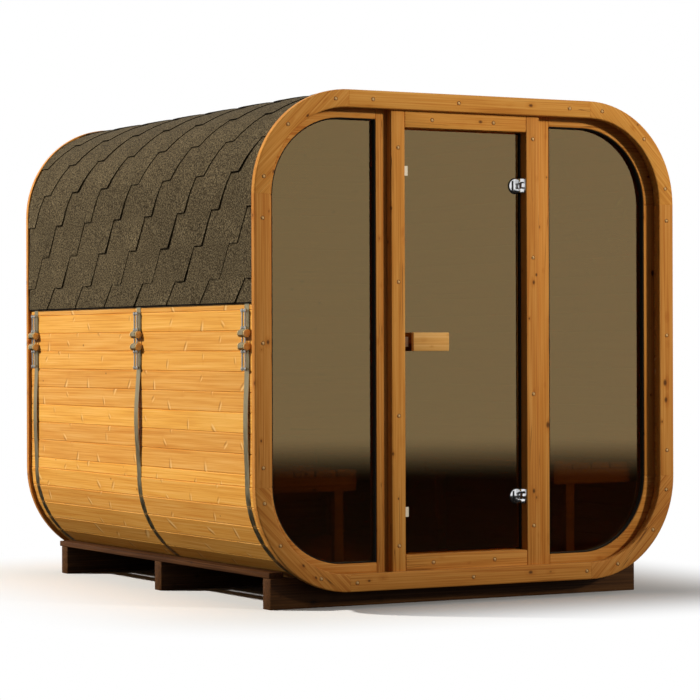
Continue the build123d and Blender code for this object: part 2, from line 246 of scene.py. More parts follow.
class Workpiece:
    """One mesh on the bench, shaped with edit-mode operators and applied modifiers."""

    def __init__(self, obj: bpy.types.Object, name: str) -> None:
        """Takes an object in hand and names it."""
        self.obj = obj
        self.rename(name)

    @classmethod
    def block(cls, name: str, low: Point, high: Point) -> "Workpiece":
        """Adds a block.

        Args:
            name: Name of the piece.
            low: Its corner of lowest coordinates.
            high: Its corner of highest coordinates.

        Returns:
            The block.
        """
        clear_selection()
        low, high = Vector(low), Vector(high)
        bpy.ops.mesh.primitive_cube_add(size=1.0, location=(low + high) / 2, scale=high - low)
        bpy.ops.object.transform_apply(location=True, rotation=True, scale=True)
        return cls(bpy.context.object, name)

    @classmethod
    def bar(cls, name: str, start: Point, end: Point, radius: float, sides: int) -> "Workpiece":
        """Adds a round or many-sided bar.

        Args:
            name: Name of the piece.
            start: Middle of one end.
            end: Middle of the other.
            radius: Radius to its edges.
            sides: Number of sides.

        Returns:
            The bar.
        """
        clear_selection()
        start, end = Vector(start), Vector(end)
        turn = (end - start).to_track_quat("Z", "Y").to_euler()
        bpy.ops.mesh.primitive_cylinder_add(
            vertices=sides, radius=radius, depth=(end - start).length, location=(start + end) / 2, rotation=turn)
        bpy.ops.object.transform_apply(location=True, rotation=True, scale=True)
        return cls(bpy.context.object, name)

    @classmethod
    def sheet(cls, name: str, low: Point, high: Point, cuts: tuple[int, int]) -> "Workpiece":
        """Adds a flat grid in the XY plane.

        Args:
            name: Name of the piece.
            low: Its corner of lowest coordinates.
            high: Its corner of highest coordinates.
            cuts: Number of cells along X and Y.

        Returns:
            The sheet.
        """
        clear_selection()
        low, high = Vector((*low, 0)), Vector((*high, 0))
        bpy.ops.mesh.primitive_grid_add(x_subdivisions=cuts[0], y_subdivisions=cuts[1], size=1.0)
        obj = bpy.context.object
        obj.location = (low + high) / 2
        obj.scale = (high.x - low.x, high.y - low.y, 1)
        bpy.ops.object.transform_apply(location=True, rotation=True, scale=True)
        return cls(obj, name)

    @classmethod
    def from_node(cls, name: str, node: str) -> "Workpiece":
        """Copies a solid's mesh, with its loose triangles merged and its flat faces made whole.

        Args:
            name: Name of the piece.
            node: Name of the solid.

        Returns:
            The copy.
        """
        obj = bpy.data.objects.new(name, frame["nodes"][node].data.copy())
        bpy.context.scene.collection.objects.link(obj)
        obj.data.materials.clear()
        piece = cls(obj, name)
        with piece.editing():
            bpy.ops.mesh.select_all(action="SELECT")
            bpy.ops.mesh.remove_doubles(threshold=MERGE)
            bpy.ops.mesh.dissolve_limited(angle_limit=FLAT)
        return piece

    @staticmethod
    def merged(name: str, parts: Sequence["Workpiece"]) -> "Workpiece":
        """Joins several pieces.

        Args:
            name: Name of the result.
            parts: Pieces, of which the first takes up the others.

        Returns:
            The joined piece.
        """
        parts[0].join(*parts[1:])
        parts[0].rename(name)
        return parts[0]

    def rename(self, name: str) -> None:
        """Names the object and its mesh."""
        self.obj.name = name
        self.obj.data.name = name

    def focus(self) -> None:
        """Selects this piece alone and makes it active."""
        clear_selection()
        self.obj.select_set(True)
        bpy.context.view_layer.objects.active = self.obj

    @contextmanager
    def editing(self, kind: str = "FACE") -> Iterator[None]:
        """Opens edit mode, and closes it again.

        Args:
            kind: What is selected there: VERT, EDGE or FACE.
        """
        self.focus()
        bpy.context.tool_settings.mesh_select_mode = tuple(kind == k for k in ("VERT", "EDGE", "FACE"))
        bpy.ops.object.mode_set(mode="EDIT")
        yield
        bpy.ops.object.mode_set(mode="OBJECT")

    def clear_marks(self) -> None:
        """Deselects every vertex, edge and face of the mesh."""
        self.focus()
        mesh = self.obj.data
        for group in (mesh.vertices, mesh.edges, mesh.polygons):
            group.foreach_set("select", [False] * len(group))

    def mark_points(self, test: Callable[[Vector], bool]) -> None:
        """Selects vertices.

        Args:
            test: Test of a vertex's place.
        """
        self.clear_marks()
        for vertex in self.obj.data.vertices:
            vertex.select = test(vertex.co)

    def mark_edges(self, test: Callable[[Vector, Vector], bool]) -> None:
        """Selects edges.

        Args:
            test: Test of the places of an edge's two ends.
        """
        self.clear_marks()
        points = self.obj.data.vertices
        for edge in self.obj.data.edges:
            first, second = (points[i] for i in edge.vertices)
            if test(first.co, second.co):
                edge.select = first.select = second.select = True

    def mark_faces(self, test: Callable[[Vector, Vector], bool]) -> None:
        """Selects faces.

        Args:
            test: Test of a face's centre and normal.
        """
        self.clear_marks()
        mesh = self.obj.data
        for face in mesh.polygons:
            if test(face.center, face.normal):
                face.select = True
                for i in face.vertices:
                    mesh.vertices[i].select = True

    def bevel(self, width: float, segments: int = 1) -> None:
        """Bevels the selected edges."""
        with self.editing("EDGE"):
            bpy.ops.mesh.bevel(offset=width, segments=segments, affect="EDGES")

    def cut(self, place: Point, way: Point, trim: bool = True, fill: bool = False) -> None:
        """Cuts the whole mesh along a plane.

        Args:
            place: Point on the plane.
            way: Direction that the plane faces.
            trim: Whether what lies on that side is cut off.
            fill: Whether the cut is closed.
        """
        with self.editing():
            bpy.ops.mesh.select_all(action="SELECT")
            bpy.ops.mesh.bisect(plane_co=place, plane_no=way, clear_outer=trim, use_fill=fill)

    def modify(self, kind: str, **settings: object) -> None:
        """Adds a modifier and applies it.

        Args:
            kind: Type of the modifier.
            settings: Its properties.
        """
        self.focus()
        bpy.ops.object.modifier_add(type=kind)
        modifier = self.obj.modifiers[-1]
        for name, value in settings.items():
            setattr(modifier, name, value)
        bpy.ops.object.modifier_apply(modifier=modifier.name)

    def soften(self, width: float, segments: int = 2, angle: float = 40.0) -> None:
        """Eases every edge that is sharper than an angle in degrees."""
        self.modify("BEVEL", width=width, segments=segments, limit_method="ANGLE", angle_limit=math.radians(angle))

    def array(self, step: Point, count: int) -> None:
        """Repeats the piece along a step."""
        self.modify("ARRAY", count=count, use_relative_offset=False, use_constant_offset=True,
                    constant_offset_displace=step)

    def carve(self, tool: "Workpiece", operation: str = "DIFFERENCE") -> None:
        """Cuts the piece with another, which is used up."""
        self.modify("BOOLEAN", object=tool.obj, operation=operation, solver="EXACT")
        bpy.data.objects.remove(tool.obj)

    def join(self, *others: "Workpiece") -> None:
        """Joins other pieces into this one.

        Args:
            others: Pieces that are used up.
        """
        self.focus()
        for other in others:
            other.obj.select_set(True)
        bpy.ops.object.join()

    def copies(self, places: Sequence[tuple[Vector, float]]) -> None:
        """Sets copies at places and joins them in place of the first.

        Args:
            places: Place of each copy and its turn about the Y axis.
        """
        name = self.obj.name
        made = []
        for spot, turn in places:
            self.focus()
            bpy.ops.object.duplicate(linked=False)
            copy = bpy.context.object
            copy.location = spot
            copy.rotation_euler = (0, turn, 0)
            made.append(copy)
        bpy.data.objects.remove(self.obj)
        clear_selection()
        for copy in made:
            copy.select_set(True)
        bpy.context.view_layer.objects.active = made[0]
        bpy.ops.object.transform_apply(location=True, rotation=True, scale=True)
        bpy.ops.object.join()
        self.obj = made[0]
        self.rename(name)

    def right_way_out(self) -> None:
        """Merges doubles and turns every face outwards."""
        with self.editing():
            bpy.ops.mesh.select_all(action="SELECT")
            bpy.ops.mesh.remove_doubles(threshold=MERGE)
            bpy.ops.mesh.normals_make_consistent(inside=False)

    def smooth(self, degrees: float = 35.0) -> None:
        """Shades gentle bends smooth and keeps sharp edges."""
        self.focus()
        bpy.ops.object.shade_smooth_by_angle(angle=math.radians(degrees))

    def number(self, seed: int, count: int = 1, name: str = "board",
               which: Callable[[Vector], int] | None = None) -> None:
        """Gives each of several parts its own random value, for tone and pattern.

        Args:
            seed: Seed of the random draws.
            count: Number of parts.
            name: Name of the face attribute.
            which: Part of a face at a place; without it the parts are equal and in the order of the faces.
        """
        draw = random.Random(seed)
        values = [draw.random() for _ in range(count)]
        mesh = self.obj.data
        each = len(mesh.polygons) / count
        layer = mesh.attributes.new(name, "FLOAT", "FACE")
        for face in mesh.polygons:
            part = which(face.center) if which else int(face.index / each)
            layer.data[face.index].value = values[min(max(part, 0), count - 1)]

    def lay_map(self, name: str, place: Callable[[Vector], tuple[float, float]]) -> None:
        """Writes a UV map.

        Args:
            name: Name of the map.
            place: Gives the place on the map from a vertex's place.
        """
        mesh = self.obj.data
        layer = mesh.uv_layers.new(name=name)
        for loop in mesh.loops:
            layer.data[loop.index].uv = place(mesh.vertices[loop.vertex_index].co)

    def dress(self, body: str, slot: str, material: Material, *nodes: str) -> None:
        """Finishes the piece and puts it on its body.

        Args:
            body: Body that carries the piece.
            slot: Material slot of the record; not used.
            material: Finish for the whole piece, unless it has finishes already.
            nodes: Solids that the piece stands for.
        """
        if not self.obj.data.materials:
            self.obj.data.materials.append(material)
        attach(self.obj, body)
        if nodes:
            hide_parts(*nodes)
        LOG.info("%s: %d faces on %s", self.obj.name, len(self.obj.data.polygons), body)

    def paint(self, material: Material) -> None:
        """Gives the piece one finish, before it is joined to others."""
        self.obj.data.materials.clear()
        self.obj.data.materials.append(material)


@dataclass(frozen=True)
class WoodFinish:
    """Heat-treated softwood, planed and oiled: satin, with growth figure, fibre streaks and knots."""

    name: str
    dark: str
    mid: str
    light: str
    knot: str
    grain: Grain
    centre: float = 1.12
    # Fibres finer than these widths would blur in the render, so they are drawn this coarse (mm).
    fibre: float = 6.0
    streak: float = 520.0
    figure: float = 60.0
    figure_length: float = 1300.0
    figure_lines: float = 4.0
    figure_depth: float = 0.05
    knot_pitch: float = 62.0
    knot_stretch: float = 1.5
    knot_radius: float = 8.0
    # Divisors of a knot's size, the soft edge and the halo in knot radii, and the knot's strength.
    knot_sizes: tuple[float, float] = (0.75, 2.2)
    knot_edge: tuple[float, float] = (1.15, 0.5)
    knot_halo: float = 3.0
    knot_depth: float = 0.85
    # How far the halo bends the figure, and how much it darkens it.
    halo_bend: float = 0.08
    halo_shade: float = -0.14
    crack_pitch: float = 24.0
    crack_length: float = 900.0
    crack_depth: float = 0.7
    # Half width of a crack as a share of its noise, and the patches of the board that have cracks.
    crack_edge: tuple[float, float] = (0.012, 0.003)
    crack_patch: tuple[float, float] = (70.0, 420.0)
    crack_start: tuple[float, float] = (0.56, 0.66)
    tones: tuple[float, float, float] = (0.28, 0.5, 0.74)
    tone_spread: float = 0.06
    hue_spread: float = 0.003
    cloud: tuple[float, float] = (200.0, 700.0)
    cloud_spread: float = 0.03
    # Shift of the pattern from board to board (m).
    board_shift: tuple[float, float, float] = (23.0, 31.0, 17.0)
    roughness: float = 0.52
    gloss_change: tuple[float, float] = (0.08, -0.06)
    specular: float = 0.22
    relief: float = 0.3
    bump: float = 0.6

    def stretch(self, width: float, length: float) -> tuple[float, float, float]:
        """Works out the scale of a pattern.

        Args:
            width: Its size across the fibres, in mm.
            length: Its size along them, in mm.

        Returns:
            The scale along each axis.
        """
        across, along = 1 / (width * MM), 1 / (length * MM)
        return {
            Grain.DEPTH: (across, along, across),
            Grain.WIDTH: (along, across, across),
            Grain.HEIGHT: (across, across, along),
            Grain.CHORD: (along, across, across),
        }[self.grain]

    def place(self, tree: Tree) -> tuple[Socket, Socket]:
        """Adds the coordinates, shifted for each board.

        Args:
            tree: Node tree of the material.

        Returns:
            The shifted place and the board's own random value.
        """
        spot = add(tree, "TexCoord").outputs["Object"]
        if self.grain is Grain.CHORD:
            parts = add(tree, "SeparateXYZ", {0: spot})
            wide = add(tree, "Math", {0: parts.outputs["X"]}, operation="ABSOLUTE")
            level = add(tree, "Math", {0: parts.outputs["Z"], 1: self.centre}, operation="SUBTRACT")
            high = add(tree, "Math", {0: level}, operation="ABSOLUTE")
            fold = add(tree, "CombineXYZ", {"X": wide, "Y": parts.outputs["Y"], "Z": high})
            spot = add(tree, "VectorRotate", {"Vector": fold, "Angle": math.radians(-45)},
                       rotation_type="Y_AXIS").outputs[0]
        own = add(tree, "Attribute", attribute_name="board").outputs["Fac"]
        shift = add(tree, "VectorMath", {0: self.board_shift, "Scale": own}, operation="SCALE")
        moved = add(tree, "VectorMath", {0: spot, 1: shift}, operation="ADD")
        return moved.outputs[0], own

    def noise(self, tree: Tree, spot: Socket, width: float, length: float, detail: float) -> Socket:
        """Adds a noise drawn out along the fibres.

        Args:
            tree: Node tree of the material.
            spot: Place on the board.
            width: Size across the fibres, in mm.
            length: Size along them, in mm.
            detail: Number of finer layers.

        Returns:
            The noise.
        """
        scaled = add(tree, "Mapping", {"Vector": spot, "Scale": self.stretch(width, length)})
        return add(tree, "TexNoise", {"Vector": scaled, "Scale": 1.0, "Detail": detail,
                                      "Roughness": NOISE_ROUGHNESS}).outputs["Fac"]

    def knots(self, tree: Tree, spot: Socket) -> tuple[Socket, Socket]:
        """Adds round knots.

        Args:
            tree: Node tree of the material.
            spot: Place on the board.

        Returns:
            The mask of the knots and a wider halo that bends the figure round them.
        """
        spread = self.stretch(self.knot_pitch, self.knot_pitch * self.knot_stretch)
        scaled = add(tree, "Mapping", {"Vector": spot, "Scale": spread})
        cells = add(tree, "TexVoronoi", {"Vector": scaled, "Scale": 1.0}, voronoi_dimensions="3D")
        chance = add(tree, "SeparateColor", {0: cells.outputs["Color"]})
        least, most = self.knot_sizes
        size = add(tree, "MapRange", {"Value": chance, "To Min": least, "To Max": most})
        away = add(tree, "Math", {0: cells.outputs["Distance"], 1: size}, operation="MULTIPLY")
        reach = self.knot_radius / self.knot_pitch
        outer, inner = (reach * edge for edge in self.knot_edge)
        mask = add(tree, "MapRange", {"Value": away, "From Min": outer, "From Max": inner})
        halo = add(tree, "MapRange", {"Value": away, "From Min": reach * self.knot_halo, "From Max": 0.0})
        return mask.outputs[0], halo.outputs[0]

    def cracks(self, tree: Tree, spot: Socket) -> Socket:
        """Adds a few hair-thin drying cracks along the fibres.

        Args:
            tree: Node tree of the material.
            spot: Place on the board.

        Returns:
            The mask of the cracks.
        """
        line = self.noise(tree, spot, self.crack_pitch, self.crack_length, 1.0)
        off = add(tree, "Math", {0: line, 1: NOISE_MIDDLE}, operation="SUBTRACT")
        away = add(tree, "Math", {0: off}, operation="ABSOLUTE")
        outer, inner = self.crack_edge
        thin = add(tree, "MapRange", {"Value": away, "From Min": outer, "From Max": inner})
        start, full = self.crack_start
        patch = self.noise(tree, spot, *self.crack_patch, 1.0)
        where = add(tree, "MapRange", {"Value": patch, "From Min": start, "From Max": full,
                                       "To Max": self.crack_depth})
        return add(tree, "Math", {0: thin, 1: where}, operation="MULTIPLY").outputs[0]

    def colour(self, tree: Tree, own: Socket, pattern: Socket, broad: Socket, mask: Socket) -> Socket:
        """Adds the colour of the figure, its change from board to board, and the knots.

        Args:
            tree: Node tree of the material.
            own: Random value of the board.
            pattern: Figure and fibres.
            broad: Broad cloud over the board.
            mask: Knots and cracks.

        Returns:
            The colour.
        """
        ramp = add(tree, "ValToRGB", {"Fac": pattern}, stops=zip(self.tones, (self.dark, self.mid, self.light)))
        tone = add(tree, "MapRange", {"Value": own, "To Min": 1 - self.tone_spread, "To Max": 1 + self.tone_spread})
        cloud = add(tree, "MapRange", {"Value": broad, **NOISE_RANGE, "To Min": 1 - self.cloud_spread,
                                       "To Max": 1 + self.cloud_spread})
        value = add(tree, "Math", {0: tone, 1: cloud}, operation="MULTIPLY")
        # Darker boards are also a little redder.
        hue = add(tree, "MapRange", {"Value": own, "To Min": PLAIN_HUE - self.hue_spread,
                                     "To Max": PLAIN_HUE + self.hue_spread})
        shade = add(tree, "HueSaturation", {"Hue": hue, "Value": value, "Color": ramp.outputs["Color"]})
        return add(tree, "Mix", {0: mask, 6: shade, 7: srgb(self.knot)}, data_type="RGBA").outputs[2]

    def make(self) -> Material:
        """Builds the material.

        Returns:
            The material.
        """
        material, tree, shader = new_material(self.name)
        spot, own = self.place(tree)
        mask, halo = self.knots(tree, spot)
        fibre = self.noise(tree, spot, self.fibre, self.streak, 3.0)
        figure = self.noise(tree, spot, self.figure, self.figure_length, 1.0)
        broad = self.noise(tree, spot, *self.cloud, 1.0)
        bent = add(tree, "Math", {0: halo, 1: self.halo_bend, 2: figure}, operation="MULTIPLY_ADD")
        turns = add(tree, "Math", {0: bent, 1: self.figure_lines * 2 * math.pi}, operation="MULTIPLY")
        wave = add(tree, "Math", {0: turns}, operation="SINE")
        rings = add(tree, "Math", {0: wave, 1: self.figure_depth}, operation="MULTIPLY")
        grown = add(tree, "Math", {0: fibre, 1: rings}, operation="ADD")
        pattern = add(tree, "Math", {0: halo, 1: self.halo_shade, 2: grown}, operation="MULTIPLY_ADD")
        faded = add(tree, "Math", {0: mask, 1: self.knot_depth, 2: self.cracks(tree, spot)},
                    operation="MULTIPLY_ADD", use_clamp=True)
        colour = self.colour(tree, own, pattern.outputs[0], broad, faded.outputs[0])
        soft, hard = (self.roughness + change for change in self.gloss_change)
        gloss = add(tree, "MapRange", {"Value": fibre, **NOISE_RANGE, "To Min": soft, "To Max": hard})
        bump = add(tree, "Bump", {"Strength": self.bump, "Distance": self.relief * MM, "Height": pattern})
        wire(tree, shader, {"Base Color": colour, "Roughness": gloss, "Specular IOR Level": self.specular,
                            "Normal": bump})
        return material


@dataclass(frozen=True)
class StaveFinish(WoodFinish):
    """Heat-treated spruce staves: slanting spike knots, each a pale stroke beside a dark one."""

    spike: str = "#EEC07A"
    spike_pitch: float = 360.0
    spike_width: float = 8.0
    spike_height: float = 34.0
    board_height: float = 85.0
    # Soft edge of a stroke in half widths, and its strength, for the dark and the pale one.
    dark_edge: tuple[float, float, float] = (1.2, 0.4, 0.6)
    pale_edge: tuple[float, float, float] = (1.3, 0.5, 0.85)
    spike_halo: tuple[float, float, float] = (4.0, 0.0, 0.4)
    # Place of the dark stroke beside the pale one, in half widths.
    dark_shift: float = 1.5
    # Divisors of a knot's size, from the largest knots to the smallest.
    spike_sizes: tuple[float, float] = (0.8, 2.5)
    # Largest lean to either side (radians), slide from board to board (m), and scatter from an even pitch.
    lean: float = 1.0
    slide: float = 9.0
    scatter: float = 0.75

    def knots(self, tree: Tree, spot: Socket) -> tuple[Socket, Socket]:
        """Adds the dark strokes of the spike knots to a few small round knots.

        Args:
            tree: Node tree of the material.
            spot: Place on the board.

        Returns:
            The mask of the dark parts and a halo that bends the figure round the knots.
        """
        dots, _ = super().knots(tree, spot)
        dark = self.stroke(tree, self.dark_shift, self.dark_edge)
        mask = add(tree, "Math", {0: dots, 1: dark}, operation="MAXIMUM")
        return mask.outputs[0], self.stroke(tree, 0.0, self.spike_halo)

    def stroke(self, tree: Tree, shift: float, edge: tuple[float, float, float]) -> Socket:
        """Adds the mask of one stroke of the spike knots.

        Args:
            tree: Node tree of the material.
            shift: Place of the stroke beside the knot's middle, in half widths.
            edge: Where the stroke starts and is full, in half widths, and its strength.

        Returns:
            The mask.
        """
        outer, inner, most = edge
        return add(tree, "MapRange", {"Value": self.spike_reach(tree, shift), "From Min": outer, "From Max": inner,
                                      "To Max": most}).outputs[0]

    def spike_reach(self, tree: Tree, shift: float) -> Socket:
        """Adds the distance from a stroke of the nearest spike knot, on the boards' own map.

        Args:
            tree: Node tree of the material.
            shift: Place of the stroke beside the knot's middle, in half widths.

        Returns:
            The distance, 1 at the stroke's edge.
        """
        flat = add(tree, "UVMap", uv_map="girth").outputs[0]
        own = add(tree, "Attribute", attribute_name="board").outputs["Fac"]
        slide = add(tree, "CombineXYZ", {"X": own})
        moved = add(tree, "VectorMath", {0: slide, 1: (self.slide, 0.0, 0.0), 2: flat}, operation="MULTIPLY_ADD")
        scaled = add(tree, "Mapping", {"Vector": moved, "Scale": (1 / (self.spike_pitch * MM), 1.0, 1.0)})
        cells = add(tree, "TexVoronoi", {"Vector": scaled, "Scale": 1.0, "Randomness": self.scatter},
                    voronoi_dimensions="2D")
        away = add(tree, "VectorMath", {0: scaled, 1: cells.outputs["Position"]}, operation="SUBTRACT")
        sized = add(tree, "VectorMath", {0: away, 1: (self.spike_pitch, self.board_height, 0.0)},
                    operation="MULTIPLY")
        chance = add(tree, "SeparateColor", {0: cells.outputs["Color"]})
        lean = add(tree, "MapRange", {"Value": chance, "To Min": -self.lean, "To Max": self.lean})
        leant = add(tree, "VectorRotate", {"Vector": sized, "Angle": lean}, rotation_type="Z_AXIS")
        thin = add(tree, "VectorMath", {0: leant, 1: (1 / self.spike_width, 1 / self.spike_height, 0.0),
                                        2: (-shift, 0.0, 0.0)}, operation="MULTIPLY_ADD")
        length = add(tree, "VectorMath", {0: thin}, operation="LENGTH")
        large, small = self.spike_sizes
        size = add(tree, "MapRange", {"Value": chance.outputs[1], "To Min": large, "To Max": small})
        return add(tree, "Math", {0: length.outputs["Value"], 1: size}, operation="MULTIPLY").outputs[0]

    def colour(self, tree: Tree, own: Socket, pattern: Socket, broad: Socket, mask: Socket) -> Socket:
        """Adds the pale strokes of the spike knots to the colour.

        Args:
            tree: Node tree of the material.
            own: Random value of the board.
            pattern: Figure and fibres.
            broad: Broad cloud over the board.
            mask: Dark parts of the knots.

        Returns:
            The colour.
        """
        under = super().colour(tree, own, pattern, broad, mask)
        pale = self.stroke(tree, 0.0, self.pale_edge)
        return add(tree, "Mix", {0: pale, 6: under, 7: srgb(self.spike)}, data_type="RGBA").outputs[2]


@dataclass(frozen=True)
class ShingleFinish:
    """Bitumen shingle with crushed-slate granules: matt, brown-grey, speckled, a little different tab by tab."""

    name: str = "bitumen_shingle"
    dark: str = "#1C1710"
    mid: str = "#493E2C"
    light: str = "#7A6C53"
    speck: str = "#A0967E"
    # Real granules are 1 to 2 mm; they are drawn as clusters of this size, so that they show (mm).
    granule: float = 6.5
    patch: float = 160.0
    tones: tuple[float, float, float] = (0.32, 0.5, 0.68)
    tab_spread: float = 0.07
    wear: tuple[float, float] = (0.9, 1.12)
    # Distance of the pale specks in granules, the soft edge of one, and its strength.
    speck_pitch: float = 1.6
    speck_edge: tuple[float, float] = (0.2, 0.08)
    speck_depth: float = 0.55
    roughness: float = 0.95
    specular: float = 0.15
    relief: float = 1.2
    bump: float = 0.8

    def make(self) -> Material:
        """Builds the material.

        Returns:
            The material.
        """
        material, tree, shader = new_material(self.name)
        spot = add(tree, "TexCoord").outputs["Object"]
        grit = add(tree, "TexNoise", {"Vector": spot, "Scale": 1 / (self.granule * MM), "Detail": 2.0,
                                      "Roughness": NOISE_ROUGHNESS})
        cloud = add(tree, "TexNoise", {"Vector": spot, "Scale": 1 / (self.patch * MM), "Detail": 3.0})
        ramp = add(tree, "ValToRGB", {"Fac": grit.outputs["Fac"]},
                   stops=zip(self.tones, (self.dark, self.mid, self.light)))
        own = add(tree, "Attribute", attribute_name="tab").outputs["Fac"]
        tone = add(tree, "MapRange", {"Value": own, "To Min": 1 - self.tab_spread, "To Max": 1 + self.tab_spread})
        wear = add(tree, "MapRange", {"Value": cloud.outputs["Fac"], **NOISE_RANGE, "To Min": self.wear[0],
                                      "To Max": self.wear[1]})
        value = add(tree, "Math", {0: tone, 1: wear}, operation="MULTIPLY")
        shade = add(tree, "HueSaturation", {"Value": value, "Color": ramp.outputs["Color"]})
        fine = add(tree, "TexVoronoi", {"Vector": spot, "Scale": 1 / (self.granule * self.speck_pitch * MM)})
        outer, inner = self.speck_edge
        speck = add(tree, "MapRange", {"Value": fine.outputs["Distance"], "From Min": outer, "From Max": inner,
                                       "To Max": self.speck_depth})
        colour = add(tree, "Mix", {0: speck, 6: shade, 7: srgb(self.speck)}, data_type="RGBA")
        bump = add(tree, "Bump", {"Strength": self.bump, "Distance": self.relief * MM,
                                  "Height": grit.outputs["Fac"]})
        wire(tree, shader, {"Base Color": colour.outputs[2], "Roughness": self.roughness,
                            "Specular IOR Level": self.specular, "Normal": bump})
        return material


@dataclass(frozen=True)
class MetalFinish:
    """Bare metal with a faint pattern in its shine: spangle on zinc, handling marks on chrome and copper."""

    name: str
    dark: str
    light: str
    roughness: float
    spot_size: tuple[float, float, float]
    relief: float = 0.0
    metallic: float = 1.0
    tones: tuple[float, float] = (0.35, 0.65)
    gloss_change: tuple[float, float] = (0.8, 1.25)
    bump: float = 0.5

    def make(self) -> Material:
        """Builds the material.

        Returns:
            The material.
        """
        material, tree, shader = new_material(self.name)
        spot = add(tree, "TexCoord").outputs["Object"]
        scale = tuple(1 / (size * MM) for size in self.spot_size)
        scaled = add(tree, "Mapping", {"Vector": spot, "Scale": scale})
        noise = add(tree, "TexNoise", {"Vector": scaled, "Scale": 1.0, "Detail": 3.0})
        ramp = add(tree, "ValToRGB", {"Fac": noise.outputs["Fac"]}, stops=zip(self.tones, (self.dark, self.light)))
        bright, dull = (self.roughness * change for change in self.gloss_change)
        gloss = add(tree, "MapRange", {"Value": noise.outputs["Fac"], **NOISE_RANGE, "To Min": bright,
                                       "To Max": dull})
        wire(tree, shader, {"Base Color": ramp.outputs["Color"], "Metallic": self.metallic, "Roughness": gloss})
        if self.relief:
            bump = add(tree, "Bump", {"Strength": self.bump, "Distance": self.relief * MM,
                                      "Height": noise.outputs["Fac"]})
            wire(tree, shader, {"Normal": bump})
        return material


@dataclass(frozen=True)
class ThreadFinish:
    """Zinc-plated threaded rod: crests painted bright as highlights and roots painted dark as shade, across the
    rod.
    """

    name: str = "zinc_threaded_rod_painted_shade"
    # Painted shade for the thread's roots and painted highlights for its crests, on a rod of one zinc colour.
    dark: str = "#4A453B"
    light: str = "#F4F1E8"
    # A real thread has a pitch of 1.25 mm, drawn this coarse so that it shows (mm).
    pitch: float = 4.0
    tones: tuple[float, float] = (0.2, 0.7)
    metallic: float = 0.9
    roughness: float = 0.3
    relief: float = 0.6
    bump: float = 0.7

    def make(self) -> Material:
        """Builds the material.

        Returns:
            The material.
        """
        material, tree, shader = new_material(self.name)
        spot = add(tree, "TexCoord").outputs["Object"]
        scaled = add(tree, "Mapping", {"Vector": spot, "Scale": (1.0, 1.0, 1 / (self.pitch * MM))})
        parts = add(tree, "SeparateXYZ", {0: scaled})
        turns = add(tree, "Math", {0: parts.outputs["Z"], 1: 2 * math.pi}, operation="MULTIPLY")
        wave = add(tree, "Math", {0: turns}, operation="SINE")
        crest_light_and_relief = add(tree, "MapRange", {"Value": wave, "From Min": -1.0})
        # The crest wave paints light on the crests and shade in the roots, and also drives the bump.
        ramp = add(tree, "ValToRGB", {"Fac": crest_light_and_relief}, stops=zip(self.tones, (self.dark, self.light)))
        bump = add(tree, "Bump", {"Strength": self.bump, "Distance": self.relief * MM, "Height": crest_light_and_relief})
        wire(tree, shader, {"Base Color": ramp.outputs["Color"], "Metallic": self.metallic,
                            "Roughness": self.roughness, "Normal": bump})
        return material


@dataclass(frozen=True)
class GlassFinish:
    """Bronze toughened glass: mirror-like and olive-brown outside, dark within."""

    name: str = "bronze_glass"
    tint: str = "#7A6038"
    sheen: str = "#F6D79A"
    passed: str = "#C2A473"
    ior: float = 2.3
    smear: float = 420.0
    tint_spread: float = 0.06
    haze: float = 0.03

    def make(self) -> Material:
        """Builds the material.

        Returns:
            The material.
        """
        material, tree, shader = new_material(self.name)
        spot = add(tree, "TexCoord").outputs["Object"]
        cloud = add(tree, "TexNoise", {"Vector": spot, "Scale": 1 / (self.smear * MM), "Detail": 2.0})
        shade = add(tree, "MapRange", {"Value": cloud.outputs["Fac"], "To Min": 1 - self.tint_spread,
                                        "To Max": 1 + self.tint_spread})
        tint = add(tree, "HueSaturation", {"Value": shade, "Color": srgb(self.tint)})
        haze = add(tree, "MapRange", {"Value": cloud.outputs["Fac"], "To Min": 0.0, "To Max": self.haze})
        wire(tree, shader, {"Base Color": tint, "Transmission Weight": 1.0, "IOR": self.ior,
                            "Specular Tint": srgb(self.sheen), "Roughness": haze})
        # Lamp light passes the pane straight and tinted, so that the benches within are dimly lit.
        passed = add(tree, "BsdfTransparent", {"Color": srgb(self.passed)})
        mix = add(tree, "MixShader", {0: add(tree, "LightPath").outputs["Is Shadow Ray"], 1: shader, 2: passed})
        wire(tree, tree.nodes["Material Output"], {"Surface": mix})
        return material


@dataclass(frozen=True)
class MouldedFinish:
    """Moulded plastic or rubber: one colour with a fine mould texture and a soft shine."""

    name: str
    dark: str
    light: str
    roughness: float
    specular: float = 0.4
    texture: float = 3.0
    tones: tuple[float, float] = (0.35, 0.65)
    relief: float = 0.2
    bump: float = 0.3

    def make(self) -> Material:
        """Builds the material.

        Returns:
            The material.
        """
        material, tree, shader = new_material(self.name)
        spot = add(tree, "TexCoord").outputs["Object"]
        noise = add(tree, "TexNoise", {"Vector": spot, "Scale": 1 / (self.texture * MM), "Detail": 2.0})
        ramp = add(tree, "ValToRGB", {"Fac": noise.outputs["Fac"]}, stops=zip(self.tones, (self.dark, self.light)))
        bump = add(tree, "Bump", {"Strength": self.bump, "Distance": self.relief * MM,
                                  "Height": noise.outputs["Fac"]})
        wire(tree, shader, {"Base Color": ramp.outputs["Color"], "Roughness": self.roughness,
                            "Specular IOR Level": self.specular, "Normal": bump})
        return material


